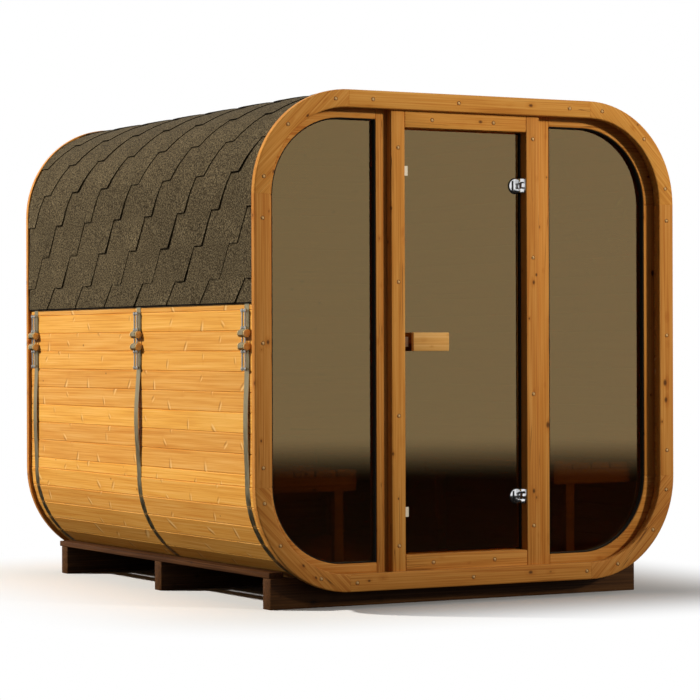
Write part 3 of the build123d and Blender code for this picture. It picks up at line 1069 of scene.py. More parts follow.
class Finishes:
    """Every finish of the sauna, made once."""

    def __init__(self, centre: float) -> None:
        """Makes the materials.

        Args:
            centre: Level of the middle of the section, which the corner figure is folded about.
        """
        trim = {"dark": "#B56C29", "mid": "#CC873A", "light": "#DB9C4E", "knot": "#4A2810", "centre": centre}
        base = {"dark": "#331D0D", "mid": "#472B15", "light": "#5F3D20", "knot": "#1F1107", "roughness": 0.7}
        bench = {"dark": "#A5743F", "mid": "#C08E52", "light": "#D2A66C", "knot": "#6B4526", "roughness": 0.6}
        self.stave = StaveFinish("heat_treated_spruce", "#D18935", "#E09F46", "#EBB15E", "#8E5420", Grain.DEPTH,
                                 knot_pitch=130.0, knot_radius=6.0, tone_spread=0.07, crack_depth=0.0).make()
        self.rail = WoodFinish("heat_treated_pine_across", grain=Grain.WIDTH, **trim).make()
        self.post = WoodFinish("heat_treated_pine_upright", grain=Grain.HEIGHT, **trim).make()
        self.corner = WoodFinish("heat_treated_pine_corner", grain=Grain.CHORD, figure_lines=6.0,
                                 figure_depth=0.07, **trim).make()
        self.handle = WoodFinish("pale_pine_handle", "#C98A42", "#DDA257", "#E8B570", "#8A5526",
                                 Grain.WIDTH).make()
        self.bearer = WoodFinish("impregnated_pine_bearer", grain=Grain.WIDTH, **base).make()
        self.ledge = WoodFinish("impregnated_pine_ledge", grain=Grain.DEPTH, **base).make()
        self.seat = WoodFinish("aspen_slats", grain=Grain.DEPTH, **bench).make()
        self.trestle = WoodFinish("aspen_trestles", grain=Grain.WIDTH, **bench).make()
        self.shingle = ShingleFinish().make()
        self.glass = GlassFinish().make()
        self.zinc = MetalFinish("galvanised_steel", "#A2946F", "#BDAF8A", 0.42, (14.0, 14.0, 40.0), 0.15).make()
        self.bitumen = MouldedFinish("bitumen_edge", "#0A0907", "#15110C", 0.85, 0.1).make()
        self.chrome = MetalFinish("polished_chrome", "#D9DADB", "#ECECED", 0.1, (60.0, 60.0, 60.0)).make()
        # Copper washers made paler than copper, so that they look lit where they stand in shade: partly painted
        # light.
        self.copper = MetalFinish("pale_copper_washer_painted_light", "#F4C67C", "#FCDA9C", 0.5, (12.0, 12.0, 12.0), 0.05, 0.1).make()
        self.thread = ThreadFinish().make()
        self.rubber = MouldedFinish("black_glazing_rubber", "#0B0A09", "#191714", 0.6, 0.15).make()
        self.plastic = MouldedFinish("cream_moulded_plastic", "#E3D6B8", "#F1E8D2", 0.35).make()
        self.cap = MouldedFinish("birch_screw_cap", "#CF9F5E", "#E0B67C", 0.5, 0.2).make()


@dataclass
class StaveBarrel:
    """Horizontal staves round the cabin, each one a board with eased arrises."""

    section: Section
    finishes: Finishes
    # Full boards on each straight side, with a narrower one at each end.
    boards_a_side: int = 13
    board: float = 85.2 * MM
    boards_a_corner: int = 8
    arris: float = 3.2 * MM
    joint: float = 0.02 * MM
    # Edges longer than this run along the boards.
    long_edge: float = 1.0
    side_seed: int = 20
    corner_seed: int = 40

    def side(self, node: str, axis: Axis, seed: int) -> None:
        """Builds one straight side.

        Args:
            node: Solid that the boards stand for.
            axis: Axis along which the boards are set side by side.
            seed: Seed of the boards' tones.
        """
        low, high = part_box(node)
        way = axis.value
        first = (low[way] + high[way] - self.boards_a_side * self.board) / 2
        last = first + self.boards_a_side * self.board
        step = Vector()
        step[way] = self.board
        boards = self.plank(low, high, axis, first, first + self.board)
        boards.array(step, self.boards_a_side)
        boards.join(self.plank(low, high, axis, low[way], first), self.plank(low, high, axis, last, high[way]))
        boards.rename(node.replace("staves", "boards"))
        boards.number(seed, self.boards_a_side + 2,
                      which=lambda spot: 1 + math.floor((spot[way] - first) / self.board))
        boards.lay_map("girth", lambda co: (co.y, 1 + (co[way] - first) / self.board))
        boards.dress("cabin", "thermo_wood", self.finishes.stave, node)

    def plank(self, low: Vector, high: Vector, axis: Axis, start: float, end: float) -> Workpiece:
        """Builds one board of a straight side.

        Args:
            low: Lowest corner of the side.
            high: Highest corner of the side.
            axis: Axis along which the boards are set side by side.
            start: Place of the board's lower edge along that axis.
            end: Place of its upper edge.

        Returns:
            The board.
        """
        corner, top = low.copy(), high.copy()
        corner[axis.value], top[axis.value] = start, end - self.joint
        plank = Workpiece.block("plank", corner, top)
        plank.mark_edges(lambda a, b: abs(a.y - b.y) > self.long_edge)
        plank.bevel(self.arris)
        return plank

    def corner(self, node: str, place: tuple[Vector, float], seed: int) -> None:
        """Builds one rounded corner of wedge-shaped boards.

        Args:
            node: Solid that the boards stand for.
            place: Centre of the corner and the turn of its first board.
            seed: Seed of the boards' tones.
        """
        wall_low, wall_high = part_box("left_wall_staves")
        outer = -wall_low.x - self.section.flat_x
        inner = -wall_high.x - self.section.flat_x
        step = math.pi / 2 / self.boards_a_corner
        half = outer * math.tan(step / 2) - self.joint / 2
        board = Workpiece.block(node.replace("staves", "boards"), (inner, wall_low.y, -half),
                                (outer, wall_high.y, half))
        middle = (inner + outer) / 2
        board.mark_points(lambda co: co.x < middle)
        with board.editing("VERT"):
            bpy.ops.transform.resize(value=(1, 1, inner / outer), center_override=(inner, 0, 0))
        board.mark_edges(lambda a, b: abs(a.y - b.y) > self.long_edge)
        board.bevel(self.arris)
        centre, turn = place
        board.copies([(centre, turn - (i + 0.5) * step) for i in range(self.boards_a_corner)])
        board.number(seed, self.boards_a_corner)
        # More than a full turn is added, so that every board has a place above zero on the map.
        board.lay_map("girth", lambda co: (co.y, (math.atan2(co.z - centre.z, co.x - centre.x) + 7) / step))
        board.dress("cabin", "thermo_wood", self.finishes.stave, node)

    def build(self) -> None:
        """Builds every side and corner."""
        sides = (("floor", Axis.X), ("ceiling", Axis.X), ("left_wall", Axis.Z), ("right_wall", Axis.Z))
        for seed, (name, axis) in enumerate(sides):
            self.side(f"{name}_staves", axis, self.side_seed + seed)
        names = ("upper_right", "upper_left", "lower_left", "lower_right")
        for seed, (name, place) in enumerate(zip(names, self.section.corner_turns())):
            self.corner(f"{name}_corner_staves", place, self.corner_seed + seed)


@dataclass
class BackWall:
    """Plain horizontal boards closing the back."""

    finishes: Finishes
    boards: int = 23
    arris: float = 3.2 * MM
    joint: float = 0.02 * MM
    long_edge: float = 1.0
    seed: int = 61

    def build(self) -> None:
        """Stacks the boards and trims them to the rounded outline."""
        low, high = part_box("back_wall")
        pitch = (high.z - low.z) / self.boards
        wall = Workpiece.block("back_wall_boards", low, (high.x, high.y, low.z + pitch - self.joint))
        wall.mark_edges(lambda a, b: abs(a.x - b.x) > self.long_edge)
        wall.bevel(self.arris)
        wall.array((0, 0, pitch), self.boards)
        wall.carve(Workpiece.from_node("back_outline", "back_wall"), "INTERSECT")
        wall.number(self.seed, self.boards, which=lambda centre: int((centre.z - low.z) / pitch))
        wall.dress("cabin", "trim_wood", self.finishes.rail, "back_wall")


@dataclass
class ScrewCaps:
    """Shallow counterbores over the screws, each closed with a domed cap."""

    finishes: Finishes
    radius: float = 9.4 * MM
    depth: float = 4.0 * MM
    overshoot: float = 3.0 * MM
    sides: int = 20
    cap_radius: float = 7.2 * MM
    cap_sides: int = 14
    cap_wall: float = 3.4 * MM
    dome: tuple[tuple[float, float], ...] = ((1.2 * MM, 1.7 * MM), (1.9 * MM, 1.4 * MM), (2.1 * MM, 0.6 * MM))
    dome_angle: float = 60.0

    def __post_init__(self) -> None:
        """Starts with no holes."""
        self.places: list[Vector] = []

    def bore(self, piece: Workpiece, places: Sequence[Vector], facing: int) -> None:
        """Cuts holes into a face and keeps their bottoms for the caps.

        Args:
            piece: Piece to cut.
            places: Centres of the holes on the face.
            facing: -1 where the face looks to the front, 1 where it looks to the back.
        """
        drills = []
        for spot in places:
            outer = spot + Vector((0, facing * self.overshoot, 0))
            inner = spot - Vector((0, facing * self.depth, 0))
            drills.append(Workpiece.bar("drill", outer, inner, self.radius, self.sides))
            self.places.append(inner)
        piece.carve(Workpiece.merged("drills", drills))

    def fit(self) -> None:
        """Sets a cap, domed at both ends and half sunk in the wood, in every hole."""
        reach = Vector((0, self.cap_wall, 0))
        cap = Workpiece.bar("screw_caps", -reach, reach, self.cap_radius, self.cap_sides)
        cap.mark_faces(lambda centre, normal: abs(normal.y) > FACING)
        with cap.editing("FACE"):
            for inward, outward in self.dome:
                bpy.ops.mesh.inset(thickness=inward, depth=outward)
        cap.copies([(spot, 0.0) for spot in self.places])
        cap.smooth(self.dome_angle)
        cap.dress("cabin", "trim_wood", self.finishes.cap)


@dataclass
class TrimRing:
    """Flat trim ring on one end: four rails and four curved corners with rounded arrises."""

    section: Section
    finishes: Finishes
    caps: ScrewCaps
    facing: int
    arris: float = 6.5 * MM
    arris_steps: int = 3
    seam: float = 0.8 * MM
    seam_angle: float = 60.0
    # Edges longer than this run along a rail, and points nearer than this to the face lie on it.
    long_edge: float = 0.5
    near: float = 1 * MM
    corner_steps: int = 24
    rail_holes: tuple[tuple[float, ...], ...] = (
        (-0.491, -0.070, 0.498), (-0.574, -0.003, 0.582), (-0.522, -0.010, 0.504), (-0.492, 0.021, 0.532))
    upper_holes: tuple[float, ...] = (10.0, 45.0, 81.0)
    lower_holes: tuple[float, ...] = (9.0, 36.0, 70.0)
    # Seeds of the first rail and of the corners, at the front and at the back.
    rail_seeds: tuple[int, int] = (70, 90)
    corner_seeds: tuple[int, int] = (71, 72)

    @property
    def face(self) -> float:
        """Level of the ring's outer face along the depth."""
        low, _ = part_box("front_ring_top_rail")
        return -low.y if self.back else low.y

    @property
    def end(self) -> str:
        """Name of this end of the cabin."""
        return "back" if self.back else "front"

    @property
    def back(self) -> bool:
        """Whether this ring is the one at the back."""
        return self.facing > 0

    def on_face(self, *points: Vector) -> bool:
        """Tells whether points lie on the ring's outer face."""
        return all(abs(point.y - self.face) < self.near for point in points)

    def rail(self, side: str, axis: Axis, holes: Sequence[float], seed: int) -> Workpiece:
        """Builds one rail.

        Args:
            side: Which side of the front ring the rail copies.
            axis: Axis along which the rail runs.
            holes: Places of its screws along it, from its middle.
            seed: Seed of its tone.

        Returns:
            The rail with its holes bored.
        """
        low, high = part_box(f"front_ring_{side}_rail")
        if self.back:
            low, high = Vector((low.x, -high.y, low.z)), Vector((high.x, -low.y, high.z))
        rail = Workpiece.block(f"{self.end}_{side}_rail", low, high)
        way = axis.value
        rail.mark_edges(lambda a, b: abs(a[way] - b[way]) > self.long_edge and self.on_face(a, b))
        rail.bevel(self.arris, self.arris_steps)
        rail.soften(self.seam, 1, self.seam_angle)
        middle = (low + high) / 2
        middle.y = self.face
        unit = Vector([float(number == way) for number in range(3)])
        self.caps.bore(rail, [middle + unit * shift for shift in holes], self.facing)
        rail.number(seed)
        rail.smooth()
        rail.paint(self.finishes.rail if axis is Axis.X else self.finishes.post)
        return rail

    def corners(self) -> Workpiece:
        """Builds the four corners from one that is spun from a flat profile.

        Returns:
            The joined corners with their holes bored.
        """
        low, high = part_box("front_ring_left_rail")
        face_width = high.x - low.x
        thickness = high.y - low.y
        outer = self.section.radius
        depth = self.face - self.facing * thickness / 2
        clear_selection()
        bpy.ops.mesh.primitive_plane_add(size=1.0, location=(outer - face_width / 2, depth, 0))
        bpy.context.object.scale = (face_width, thickness, 1)
        bpy.ops.object.transform_apply(location=True, rotation=True, scale=True)
        corner = Workpiece(bpy.context.object, f"{self.end}_ring_corner_boards")
        with corner.editing("EDGE"):
            bpy.ops.mesh.select_all(action="SELECT")
            bpy.ops.mesh.delete(type="ONLY_FACE")
            bpy.ops.mesh.select_all(action="SELECT")
            bpy.ops.mesh.spin(steps=self.corner_steps, angle=math.pi / 2, center=(0, 0, 0), axis=(0, -1, 0))
            bpy.ops.mesh.select_all(action="SELECT")
            bpy.ops.mesh.fill_holes(sides=4)
        corner.right_way_out()
        upward = sum(v.co.z for v in corner.obj.data.vertices) > 0
        corner.mark_edges(lambda a, b: self.on_face(a, b) and abs(a.xz.length - b.xz.length) < self.near)
        corner.bevel(self.arris, self.arris_steps)
        corner.soften(self.seam, 1, self.seam_angle)
        extra = 0.0 if upward else -math.pi / 2
        turns = [(centre, turn + extra) for centre, turn in self.section.corner_turns()]
        corner.copies(turns)
        middle = outer - face_width / 2
        places = []
        for centre, _ in turns:
            rise = math.copysign(1, centre.z - self.section.centre)
            for degrees in self.upper_holes if rise > 0 else self.lower_holes:
                angle = math.radians(degrees)
                shift = Vector((math.copysign(math.cos(angle), centre.x), 0, rise * math.sin(angle)))
                places.append(Vector((centre.x, self.face, centre.z)) + middle * shift)
        self.caps.bore(corner, places, self.facing)
        corner.number(self.corner_seeds[self.back], len(turns),
                      which=lambda spot: 2 * (spot.x > 0) + (spot.z > self.section.centre))
        corner.smooth()
        return corner

    def build(self) -> None:
        """Builds the ring and puts it on the cabin."""
        sides = (("top", Axis.X), ("bottom", Axis.X), ("left", Axis.Z), ("right", Axis.Z))
        rails = [self.rail(side, axis, holes, self.rail_seeds[self.back] + seed)
                 for seed, ((side, axis), holes) in enumerate(zip(sides, self.rail_holes))]
        if self.back:
            boards = Workpiece.merged("back_ring_rail_boards", rails)
            boards.dress("cabin", "trim_wood", self.finishes.rail, "back_ring_rails")
        else:
            for (side, _), rail in zip(sides, rails):
                rail.dress("cabin", "trim_wood", self.finishes.rail, f"front_ring_{side}_rail")
        self.corners().dress("cabin", "trim_wood", self.finishes.corner, f"{self.end}_ring_corners")


@dataclass
class FrontFrame:
    """Door posts, head and sill, and the frames, panes and glazing rubber of the two windows."""

    finishes: Finishes
    caps: ScrewCaps
    arris: float = 5.5 * MM
    fine_arris: float = 3.5 * MM
    # Glazing rubber: width on the pane, and depth out from it, which fills the reveal so that it is partly painted
    # shade.
    rubber_width: float = 5.0 * MM
    rubber_and_shade_depth: float = 22.0 * MM
    # Black strip on the hinge post: width and depth of a dark sheet that is painted shade in the reveal.
    reveal_shade_width: float = 7.0 * MM
    reveal_shade_depth: float = 40.0 * MM
    rubber_arris: float = 1.5 * MM
    # Edges sharper than these angles are eased, on the curved corners and on the rubber.
    corner_angle: float = 50.0
    rubber_angle: float = 60.0
    # Faces nearer than this to the front of a pane lie on it.
    near: float = 0.1 * MM
    post_seed: int = 101
    rail_seed: int = 111
    window_seed: int = 121
    corner_seed: int = 131
    left_post_holes: tuple[float, ...] = (0.252, 0.802, 1.368, 1.936)
    right_post_holes: tuple[float, ...] = (0.314, 0.887, 1.480, 1.995)
    rail_holes: tuple[float, ...] = (-0.186, 0.122)
    rail_hole_levels: tuple[float, float] = (2.058, 0.176)

    def timber(self, node: str, upright: bool, seed: int, arris: float) -> Workpiece:
        """Builds one straight timber over its solid's box, with eased arrises.

        Args:
            node: Solid that the timber stands for.
            upright: Whether its fibres run upwards.
            seed: Seed of its tone.
            arris: Width of its eased edges.

        Returns:
            The timber.
        """
        piece = Workpiece.block(f"{node}_board", *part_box(node))
        piece.soften(arris)
        piece.number(seed)
        piece.smooth()
        piece.paint(self.finishes.post if upright else self.finishes.rail)
        return piece

    def door_frame(self) -> None:
        """Builds the posts, head and sill with their screw holes."""
        posts = (("left_door_post", self.left_post_holes), ("right_door_post", self.right_post_holes))
        for seed, (node, levels) in enumerate(posts):
            low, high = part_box(node)
            post = self.timber(node, True, self.post_seed + seed, self.arris)
            places = [Vector(((low.x + high.x) / 2, low.y, level)) for level in levels]
            self.finish_bored(post, places, node)
        rails = (("door_head_rail", self.rail_hole_levels[0]), ("door_sill_rail", self.rail_hole_levels[1]))
        for seed, (node, level) in enumerate(rails):
            low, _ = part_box(node)
            rail = self.timber(node, False, self.rail_seed + seed, self.arris)
            places = [Vector((x, low.y, level)) for x in self.rail_holes]
            self.finish_bored(rail, places, node)

    def finish_bored(self, piece: Workpiece, places: Sequence[Vector], node: str) -> None:
        """Bores a timber's front face and puts it on the cabin."""
        self.caps.bore(piece, places, -1)
        piece.dress("cabin", "trim_wood", self.finishes.post, node)

    def windows(self) -> None:
        """Builds the stiles, side rails, curved corners and rubber of both windows."""
        for seed, side in enumerate(("left", "right")):
            for part in ("stile", "side_rail"):
                node = f"{side}_window_{part}"
                timber = self.timber(node, True, self.window_seed + seed, self.fine_arris)
                timber.dress("cabin", "trim_wood", self.finishes.post, node)
            node = f"{side}_window_corners"
            corners = Workpiece.from_node(f"{node}_boards", node)
            corners.soften(self.fine_arris, angle=self.corner_angle)
            corners.number(self.corner_seed + seed)
            corners.smooth()
            corners.dress("cabin", "trim_wood", self.finishes.rail, node)
            self.rubber(side)
            frame["nodes"][f"{side}_window_glass"].data.materials[0] = self.finishes.glass

    def rubber(self, side: str) -> None:
        """Builds the black glazing rubber round the front of one pane, deep enough to fill the reveal, so that it
        is partly painted shade there.

        Args:
            side: Side of the door that the pane is on.
        """
        low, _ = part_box(f"{side}_window_glass")
        bead = Workpiece.from_node(f"{side}_window_rubber", f"{side}_window_glass")
        bead.mark_faces(lambda centre, normal: centre.y > low.y + self.near)
        with bead.editing("FACE"):
            bpy.ops.mesh.delete(type="FACE")
            bpy.ops.mesh.select_all(action="SELECT")
            bpy.ops.mesh.inset(thickness=self.rubber_width)
            bpy.ops.mesh.delete(type="FACE")
            bpy.ops.mesh.select_all(action="SELECT")
            # The rubber stands out over the reveal in black: a bead, and painted shade in the reveal.
            bpy.ops.mesh.extrude_region_move(TRANSFORM_OT_translate={"value": (0, -self.rubber_and_shade_depth, 0)})
        bead.right_way_out()
        bead.soften(self.rubber_arris, angle=self.rubber_angle)
        bead.smooth()
        bead.dress("cabin", "clip_plastic", self.finishes.rubber)

    def door_shade_strip(self) -> None:
        """Builds a black strip on the hinge post beside the edge of the glass: a dark sheet put there as painted
        shade in the reveal.
        """
        post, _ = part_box("right_door_post")
        _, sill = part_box("door_sill_rail")
        head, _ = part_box("door_head_rail")
        glass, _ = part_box("door_glass")
        seal = Workpiece.block("door_shade_strip", (post.x - self.reveal_shade_width, glass.y, sill.z),
                               (post.x, glass.y + self.reveal_shade_depth, head.z))
        seal.soften(self.rubber_arris)
        seal.smooth()
        seal.dress("cabin", "clip_plastic", self.finishes.rubber)

    def build(self) -> None:
        """Builds the whole front frame."""
        self.door_frame()
        self.windows()
        self.door_shade_strip()


@dataclass
class GlassDoor:
    """Frameless glass leaf with wooden handles, clips, chrome hinges and their screws."""

    finishes: Finishes
    arris: float = 3.0 * MM
    metal_arris: float = 1.0 * MM
    # Handle blocks: size, distance from the glass and from its free edge, level, and two round spacers.
    length: float = 177 * MM
    height: float = 79 * MM
    thickness: float = 20 * MM
    standoff: float = 30 * MM
    edge_gap: float = 30 * MM
    level: float = 1.115
    spacing: float = 110 * MM
    spacer: float = 11 * MM
    spacer_arris: float = 1 * MM
    spacer_sides: int = 24
    grip_seed: int = 141
    spacer_seed: int = 142
    hinge_levels: tuple[float, float] = (0.443, 1.791)
    screw_shifts: tuple[float, ...] = (-0.024, -0.010, 0.010, 0.024)
    # Screws of the hinge leaves: distance from the leaves' right and back, size, rim and sunk middle.
    screw_inset: tuple[float, float] = (3 * MM, 5 * MM)
    screw_radius: float = 2.6 * MM
    screw_height: float = 0.6 * MM
    screw_sides: int = 14
    screw_rims: tuple[float, float] = (0.3, 0.25)
    screw_sink: float = 0.5 * MM
    # Front plate of a hinge clamp: gap to the glass edge, place and radius of its round, thickness.
    plate_gap: float = 1 * MM
    round_inset: float = 13 * MM
    round_radius: float = 31 * MM
    plate_thickness: float = 6 * MM
    gasket_rim: float = 3.5 * MM
    gasket_thickness: float = 2 * MM
    gasket_sides: int = 48
    # Black strip on the plate, painted shadow beside the strap, and the strap: far and near side from the plate's
    # right edge, half height.
    plate_shade_strip: tuple[float, float, float] = (33 * MM, 25 * MM, 23 * MM)
    strap: tuple[float, float, float] = (24 * MM, 6.5 * MM, 30 * MM)
    plate_shade_proud: float = 0.4 * MM
    strap_proud: float = 2.2 * MM

    def on_plate(self, name: str, size: tuple[float, float, float], level: float, proud: float) -> Workpiece:
        """Builds an upright bar on a clamp's front plate.

        Args:
            name: Name of the bar.
            size: Far and near side measured from the plate's right edge, and half the height.
            level: Level of the hinge.
            proud: How far the bar stands out from the plate.

        Returns:
            The bar.
        """
        low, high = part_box("door_glass")
        right = high.x - self.plate_gap
        face = low.y - self.plate_thickness
        far, near, half = size
        return Workpiece.block(name, (right - far, face - proud, level - half),
                               (right - near, face + proud, level + half))

    def hinge_trim(self) -> None:
        """Fits a rubber gasket, a black strip that is painted shadow beside the strap, and a bright strap to the
        front plate of each clamp.
        """
        low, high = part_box("door_glass")
        right = high.x - self.plate_gap
        soft, bright = [], []
        for level in self.hinge_levels:
            middle = right - self.round_inset
            gasket = Workpiece.bar("gasket", (middle, low.y - self.gasket_thickness, level), (middle, low.y, level),
                                   self.round_radius + self.gasket_rim, self.gasket_sides)
            gasket.cut((right, 0, 0), (1, 0, 0), fill=True)
            # Painted shadow: a black strip on the plate beside the strap.
            plate_shade_strip = self.on_plate("plate_shade_strip", self.plate_shade_strip, level, self.plate_shade_proud)
            soft.extend((gasket, plate_shade_strip))
            strap = self.on_plate("strap", self.strap, level, self.strap_proud)
            strap.soften(self.metal_arris)
            bright.append(strap)
        for name, parts, slot, finish in (("hinge_gaskets_and_shade_strips", soft, "clip_plastic", self.finishes.rubber),
                                          ("hinge_straps", bright, "hinge_chrome", self.finishes.chrome)):
            trim = Workpiece.merged(name, parts)
            trim.smooth()
            trim.dress("door", slot, finish)

    def handles(self) -> None:
        """Builds the handle block and its spacers on both faces of the glass."""
        low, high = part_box("door_glass")
        left = low.x + self.edge_gap
        parts = []
        for facing, face in ((-1, low.y), (1, high.y)):
            inner = face + facing * self.standoff
            outer = inner + facing * self.thickness
            bottom, top = self.level - self.height / 2, self.level + self.height / 2
            grip = Workpiece.block("grip", (left, min(inner, outer), bottom),
                                   (left + self.length, max(inner, outer), top))
            grip.soften(self.arris)
            grip.number(self.grip_seed)
            grip.paint(self.finishes.handle)
            parts.append(grip)
            for shift in (-self.spacing / 2, self.spacing / 2):
                x = left + self.length / 2 + shift
                spacer = Workpiece.bar("spacer", (x, face, self.level), (x, inner, self.level), self.spacer,
                                       self.spacer_sides)
                spacer.soften(self.spacer_arris)
                spacer.number(self.spacer_seed)
                spacer.paint(self.finishes.handle)
                parts.append(spacer)
        blocks = Workpiece.merged("door_handle_blocks", parts)
        blocks.smooth()
        blocks.dress("door", "trim_wood", self.finishes.handle, "door_handles")

    def hinge_screws(self) -> None:
        """Sets four countersunk screws in each hinge leaf."""
        _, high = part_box("hinge_leaves")
        face, y = high.x - self.screw_inset[0], high.y - self.screw_inset[1]
        reach = Vector((self.screw_height, 0, 0))
        screw = Workpiece.bar("hinge_screws", -reach, reach, self.screw_radius, self.screw_sides)
        screw.mark_faces(lambda centre, normal: normal.x < -FACING)
        with screw.editing("FACE"):
            for rim, sink in zip(self.screw_rims, (0.0, self.screw_sink)):
                bpy.ops.mesh.inset(thickness=self.screw_radius * rim, depth=-sink)
        places = [Vector((face, y, level + shift)) for level in self.hinge_levels for shift in self.screw_shifts]
        screw.copies([(place, 0.0) for place in places])
        screw.dress("cabin", "hinge_chrome", self.finishes.zinc)

    def build(self) -> None:
        """Dresses the door."""
        nodes = frame["nodes"]
        nodes["door_glass"].data.materials[0] = self.finishes.glass
        nodes["door_edge_clips"].data.materials[0] = self.finishes.plastic
        self.handles()
        for body, node in (("door", "hinge_clamps"), ("cabin", "hinge_leaves")):
            metal = Workpiece.from_node(f"{node}_chrome", node)
            metal.soften(self.metal_arris)
            metal.smooth()
            metal.dress(body, "hinge_chrome", self.finishes.chrome, node)
        self.hinge_trim()
        self.hinge_screws()


@dataclass
class ShingleRoof:
    """Courses of hexagonal-tab shingles from each eaves to a ridge strip."""

    section: Section
    finishes: Finishes
    pitch: float = 333 * MM
    exposure: float = 148 * MM
    first_exposure: float = 100 * MM
    tab_bottom: float = 86 * MM
    tab_root: float = 258 * MM
    strip: float = 316 * MM
    sheet: float = 3.4 * MM
    inset: float = 12.9 * MM
    # Tabs curl most on the upright part of the roof, up to this distance from the eaves.
    curl: float = 6.0 * MM
    flat_curl: float = 1.0 * MM
    curled_run: float = 0.8
    # Tabs of the first, odd and even courses start this far behind the front of the roof.
    offsets: tuple[float, float, float] = (201 * MM, 13 * MM, 178 * MM)
    tab_rows: int = 4
    body_rows: int = 5
    ridge_width: float = 240 * MM
    # Ridge caps: height and drop of the covered end in sheets, length in steps, and eased edge.
    ridge_lift: float = 2.2
    ridge_drop: float = 0.6
    ridge_lap: float = 1.25
    ridge_arris: float = 0.8 * MM
    # Black underlay edge, partly painted shadow under the eaves: how far it stands out, hangs below the eaves and
    # reaches up under the shingles.
    shade_edge_proud: float = 5.0 * MM
    shade_edge_drop: float = 6.0 * MM
    shade_edge_lap: float = 30.0 * MM
    # Gap between the strips and the rings, and distance within which a point lies on a row.
    end_gap: float = 1 * MM
    near: float = 1 * MM
    # Random tones and curls drawn for a course; the last tone is that of its plain part.
    draws: int = 16
    seed: int = 5
    ridge_seeds: int = 1000

    def flat_strip(self, offset: float, drop: float, start: float, end: float, tabs: bool = True) -> Workpiece:
        """Models one strip flat: X along the depth, Y up the slope.

        Args:
            offset: Shift of the tabs along the strip.
            drop: Height of the tabs.
            start: Front end of the strip.
            end: Back end of the strip.
            tabs: Whether tabs hang from the strip.

        Returns:
            The strip, trimmed at both ends and of the sheet's thickness.
        """
        body = Workpiece.sheet("strip", (start, drop), (end, self.strip), (1, self.body_rows))
        if tabs:
            first = start - self.pitch + offset
            half = self.tab_root / 2
            tab = Workpiece.sheet("tab", (first - half, 0), (first + half, drop), (1, self.tab_rows))
            for row in range(self.tab_rows):
                level = drop * row / self.tab_rows
                width = self.tab_bottom + (self.tab_root - self.tab_bottom) * row / self.tab_rows
                tab.mark_points(lambda co: abs(co.y - level) < self.near)
                with tab.editing("VERT"):
                    bpy.ops.transform.resize(value=(width / self.tab_root, 1, 1), center_override=(first, level, 0))
            tab.array((self.pitch, 0, 0), math.ceil((end - start) / self.pitch) + 2)
            body.join(tab)
        for edge, way in ((start, -1), (end, 1)):
            body.cut((edge, 0, 0), (way, 0, 0))
        body.obj.data.materials.append(self.finishes.shingle)
        body.obj.data.materials.append(self.finishes.bitumen)
        body.modify("SOLIDIFY", thickness=self.sheet, offset=1.0, material_offset_rim=1)
        body.right_way_out()
        return body

    def lay(self, master: Workpiece, foot: float, drop: float, side: int, offset: float, eaves: float,
            draw: random.Random) -> Workpiece:
        """Lays a copy of a strip on one course of the roof.

        Args:
            master: Flat strip.
            foot: Distance of the course's lower edge up the roof from the eaves.
            drop: Height of the strip's tabs.
            side: -1 for the left slope and 1 for the right.
            offset: Place of the strip's first tab along the depth.
            eaves: Level of the eaves.
            draw: Source of the tabs' random tones and curls.

        Returns:
            The course in its place.
        """
        piece = Workpiece(master.obj.copy(), "course")
        piece.obj.data = master.obj.data.copy()
        bpy.context.scene.collection.objects.link(piece.obj)
        limit = self.section.roof_run(self.inset, eaves) - foot
        if limit < self.strip:
            piece.cut((0, limit, 0), (0, 1, 0), fill=True)
        tones = [draw.random() for _ in range(self.draws)]
        most = self.curl if foot < self.curled_run else self.flat_curl
        curls = [draw.random() ** 2 * most for _ in range(self.draws)]
        mesh = piece.obj.data
        layer = mesh.attributes.new("tab", "FLOAT", "FACE")
        for face in mesh.polygons:
            number = int(round((face.center.x - offset) / self.pitch)) + 1
            layer.data[face.index].value = tones[number % self.draws if face.center.y < drop else -1]
        for vertex in mesh.vertices:
            x, up, height = vertex.co
            slope = 2 * self.sheet * (1 - up / self.strip)
            number = int(round((x - offset) / self.pitch)) + 1
            if up < drop:
                slope += curls[number % self.draws] * (1 - up / drop)
            vertex.co = self.section.roof_place(foot + up, x, self.inset, height + slope, eaves, side)
        return piece

    def ridge(self, start: float, end: float, draw: random.Random) -> Workpiece:
        """Builds the overlapping caps along the ridge.

        Args:
            start: Front end of the roof.
            end: Back end of the roof.
            draw: Source of the caps' random tones.

        Returns:
            The caps.
        """
        count = math.ceil((end - start) / self.exposure)
        step = (end - start) / count
        level = self.section.centre + self.section.half_height - self.inset + self.ridge_lift * self.sheet
        half = self.ridge_width / 2
        cap = Workpiece.block("ridge_caps", (-half, start, level),
                              (half, start + step * self.ridge_lap, level + self.sheet))
        cap.mark_points(lambda co: co.y > start + step)
        with cap.editing("VERT"):
            bpy.ops.transform.translate(value=(0, 0, -self.ridge_drop * self.sheet))
        cap.soften(self.ridge_arris, 1)
        cap.array((0, step, 0), count - 1)
        cap.number(draw.randrange(self.ridge_seeds), count - 1, "tab")
        cap.paint(self.finishes.shingle)
        return cap

    def underlay_shade_edge(self, side: int, start: float, end: float, eaves: float) -> Workpiece:
        """Builds the edge of the black underlay, drawn to show as a dark line below the first course that is also
        painted shadow under the eaves.

        Args:
            side: -1 for the left slope and 1 for the right.
            start: Front end of the roof.
            end: Back end of the roof.
            eaves: Level of the eaves.

        Returns:
            The edge.
        """
        wall = self.section.roof_place(0.0, start, self.inset, 0.0, eaves, side).x
        face = wall + side * self.shade_edge_proud
        edge = Workpiece.block("underlay_shade_edge", (min(wall, face), start, eaves - self.shade_edge_drop),
                               (max(wall, face), end, eaves + self.shade_edge_lap))
        edge.paint(self.finishes.bitumen)
        return edge

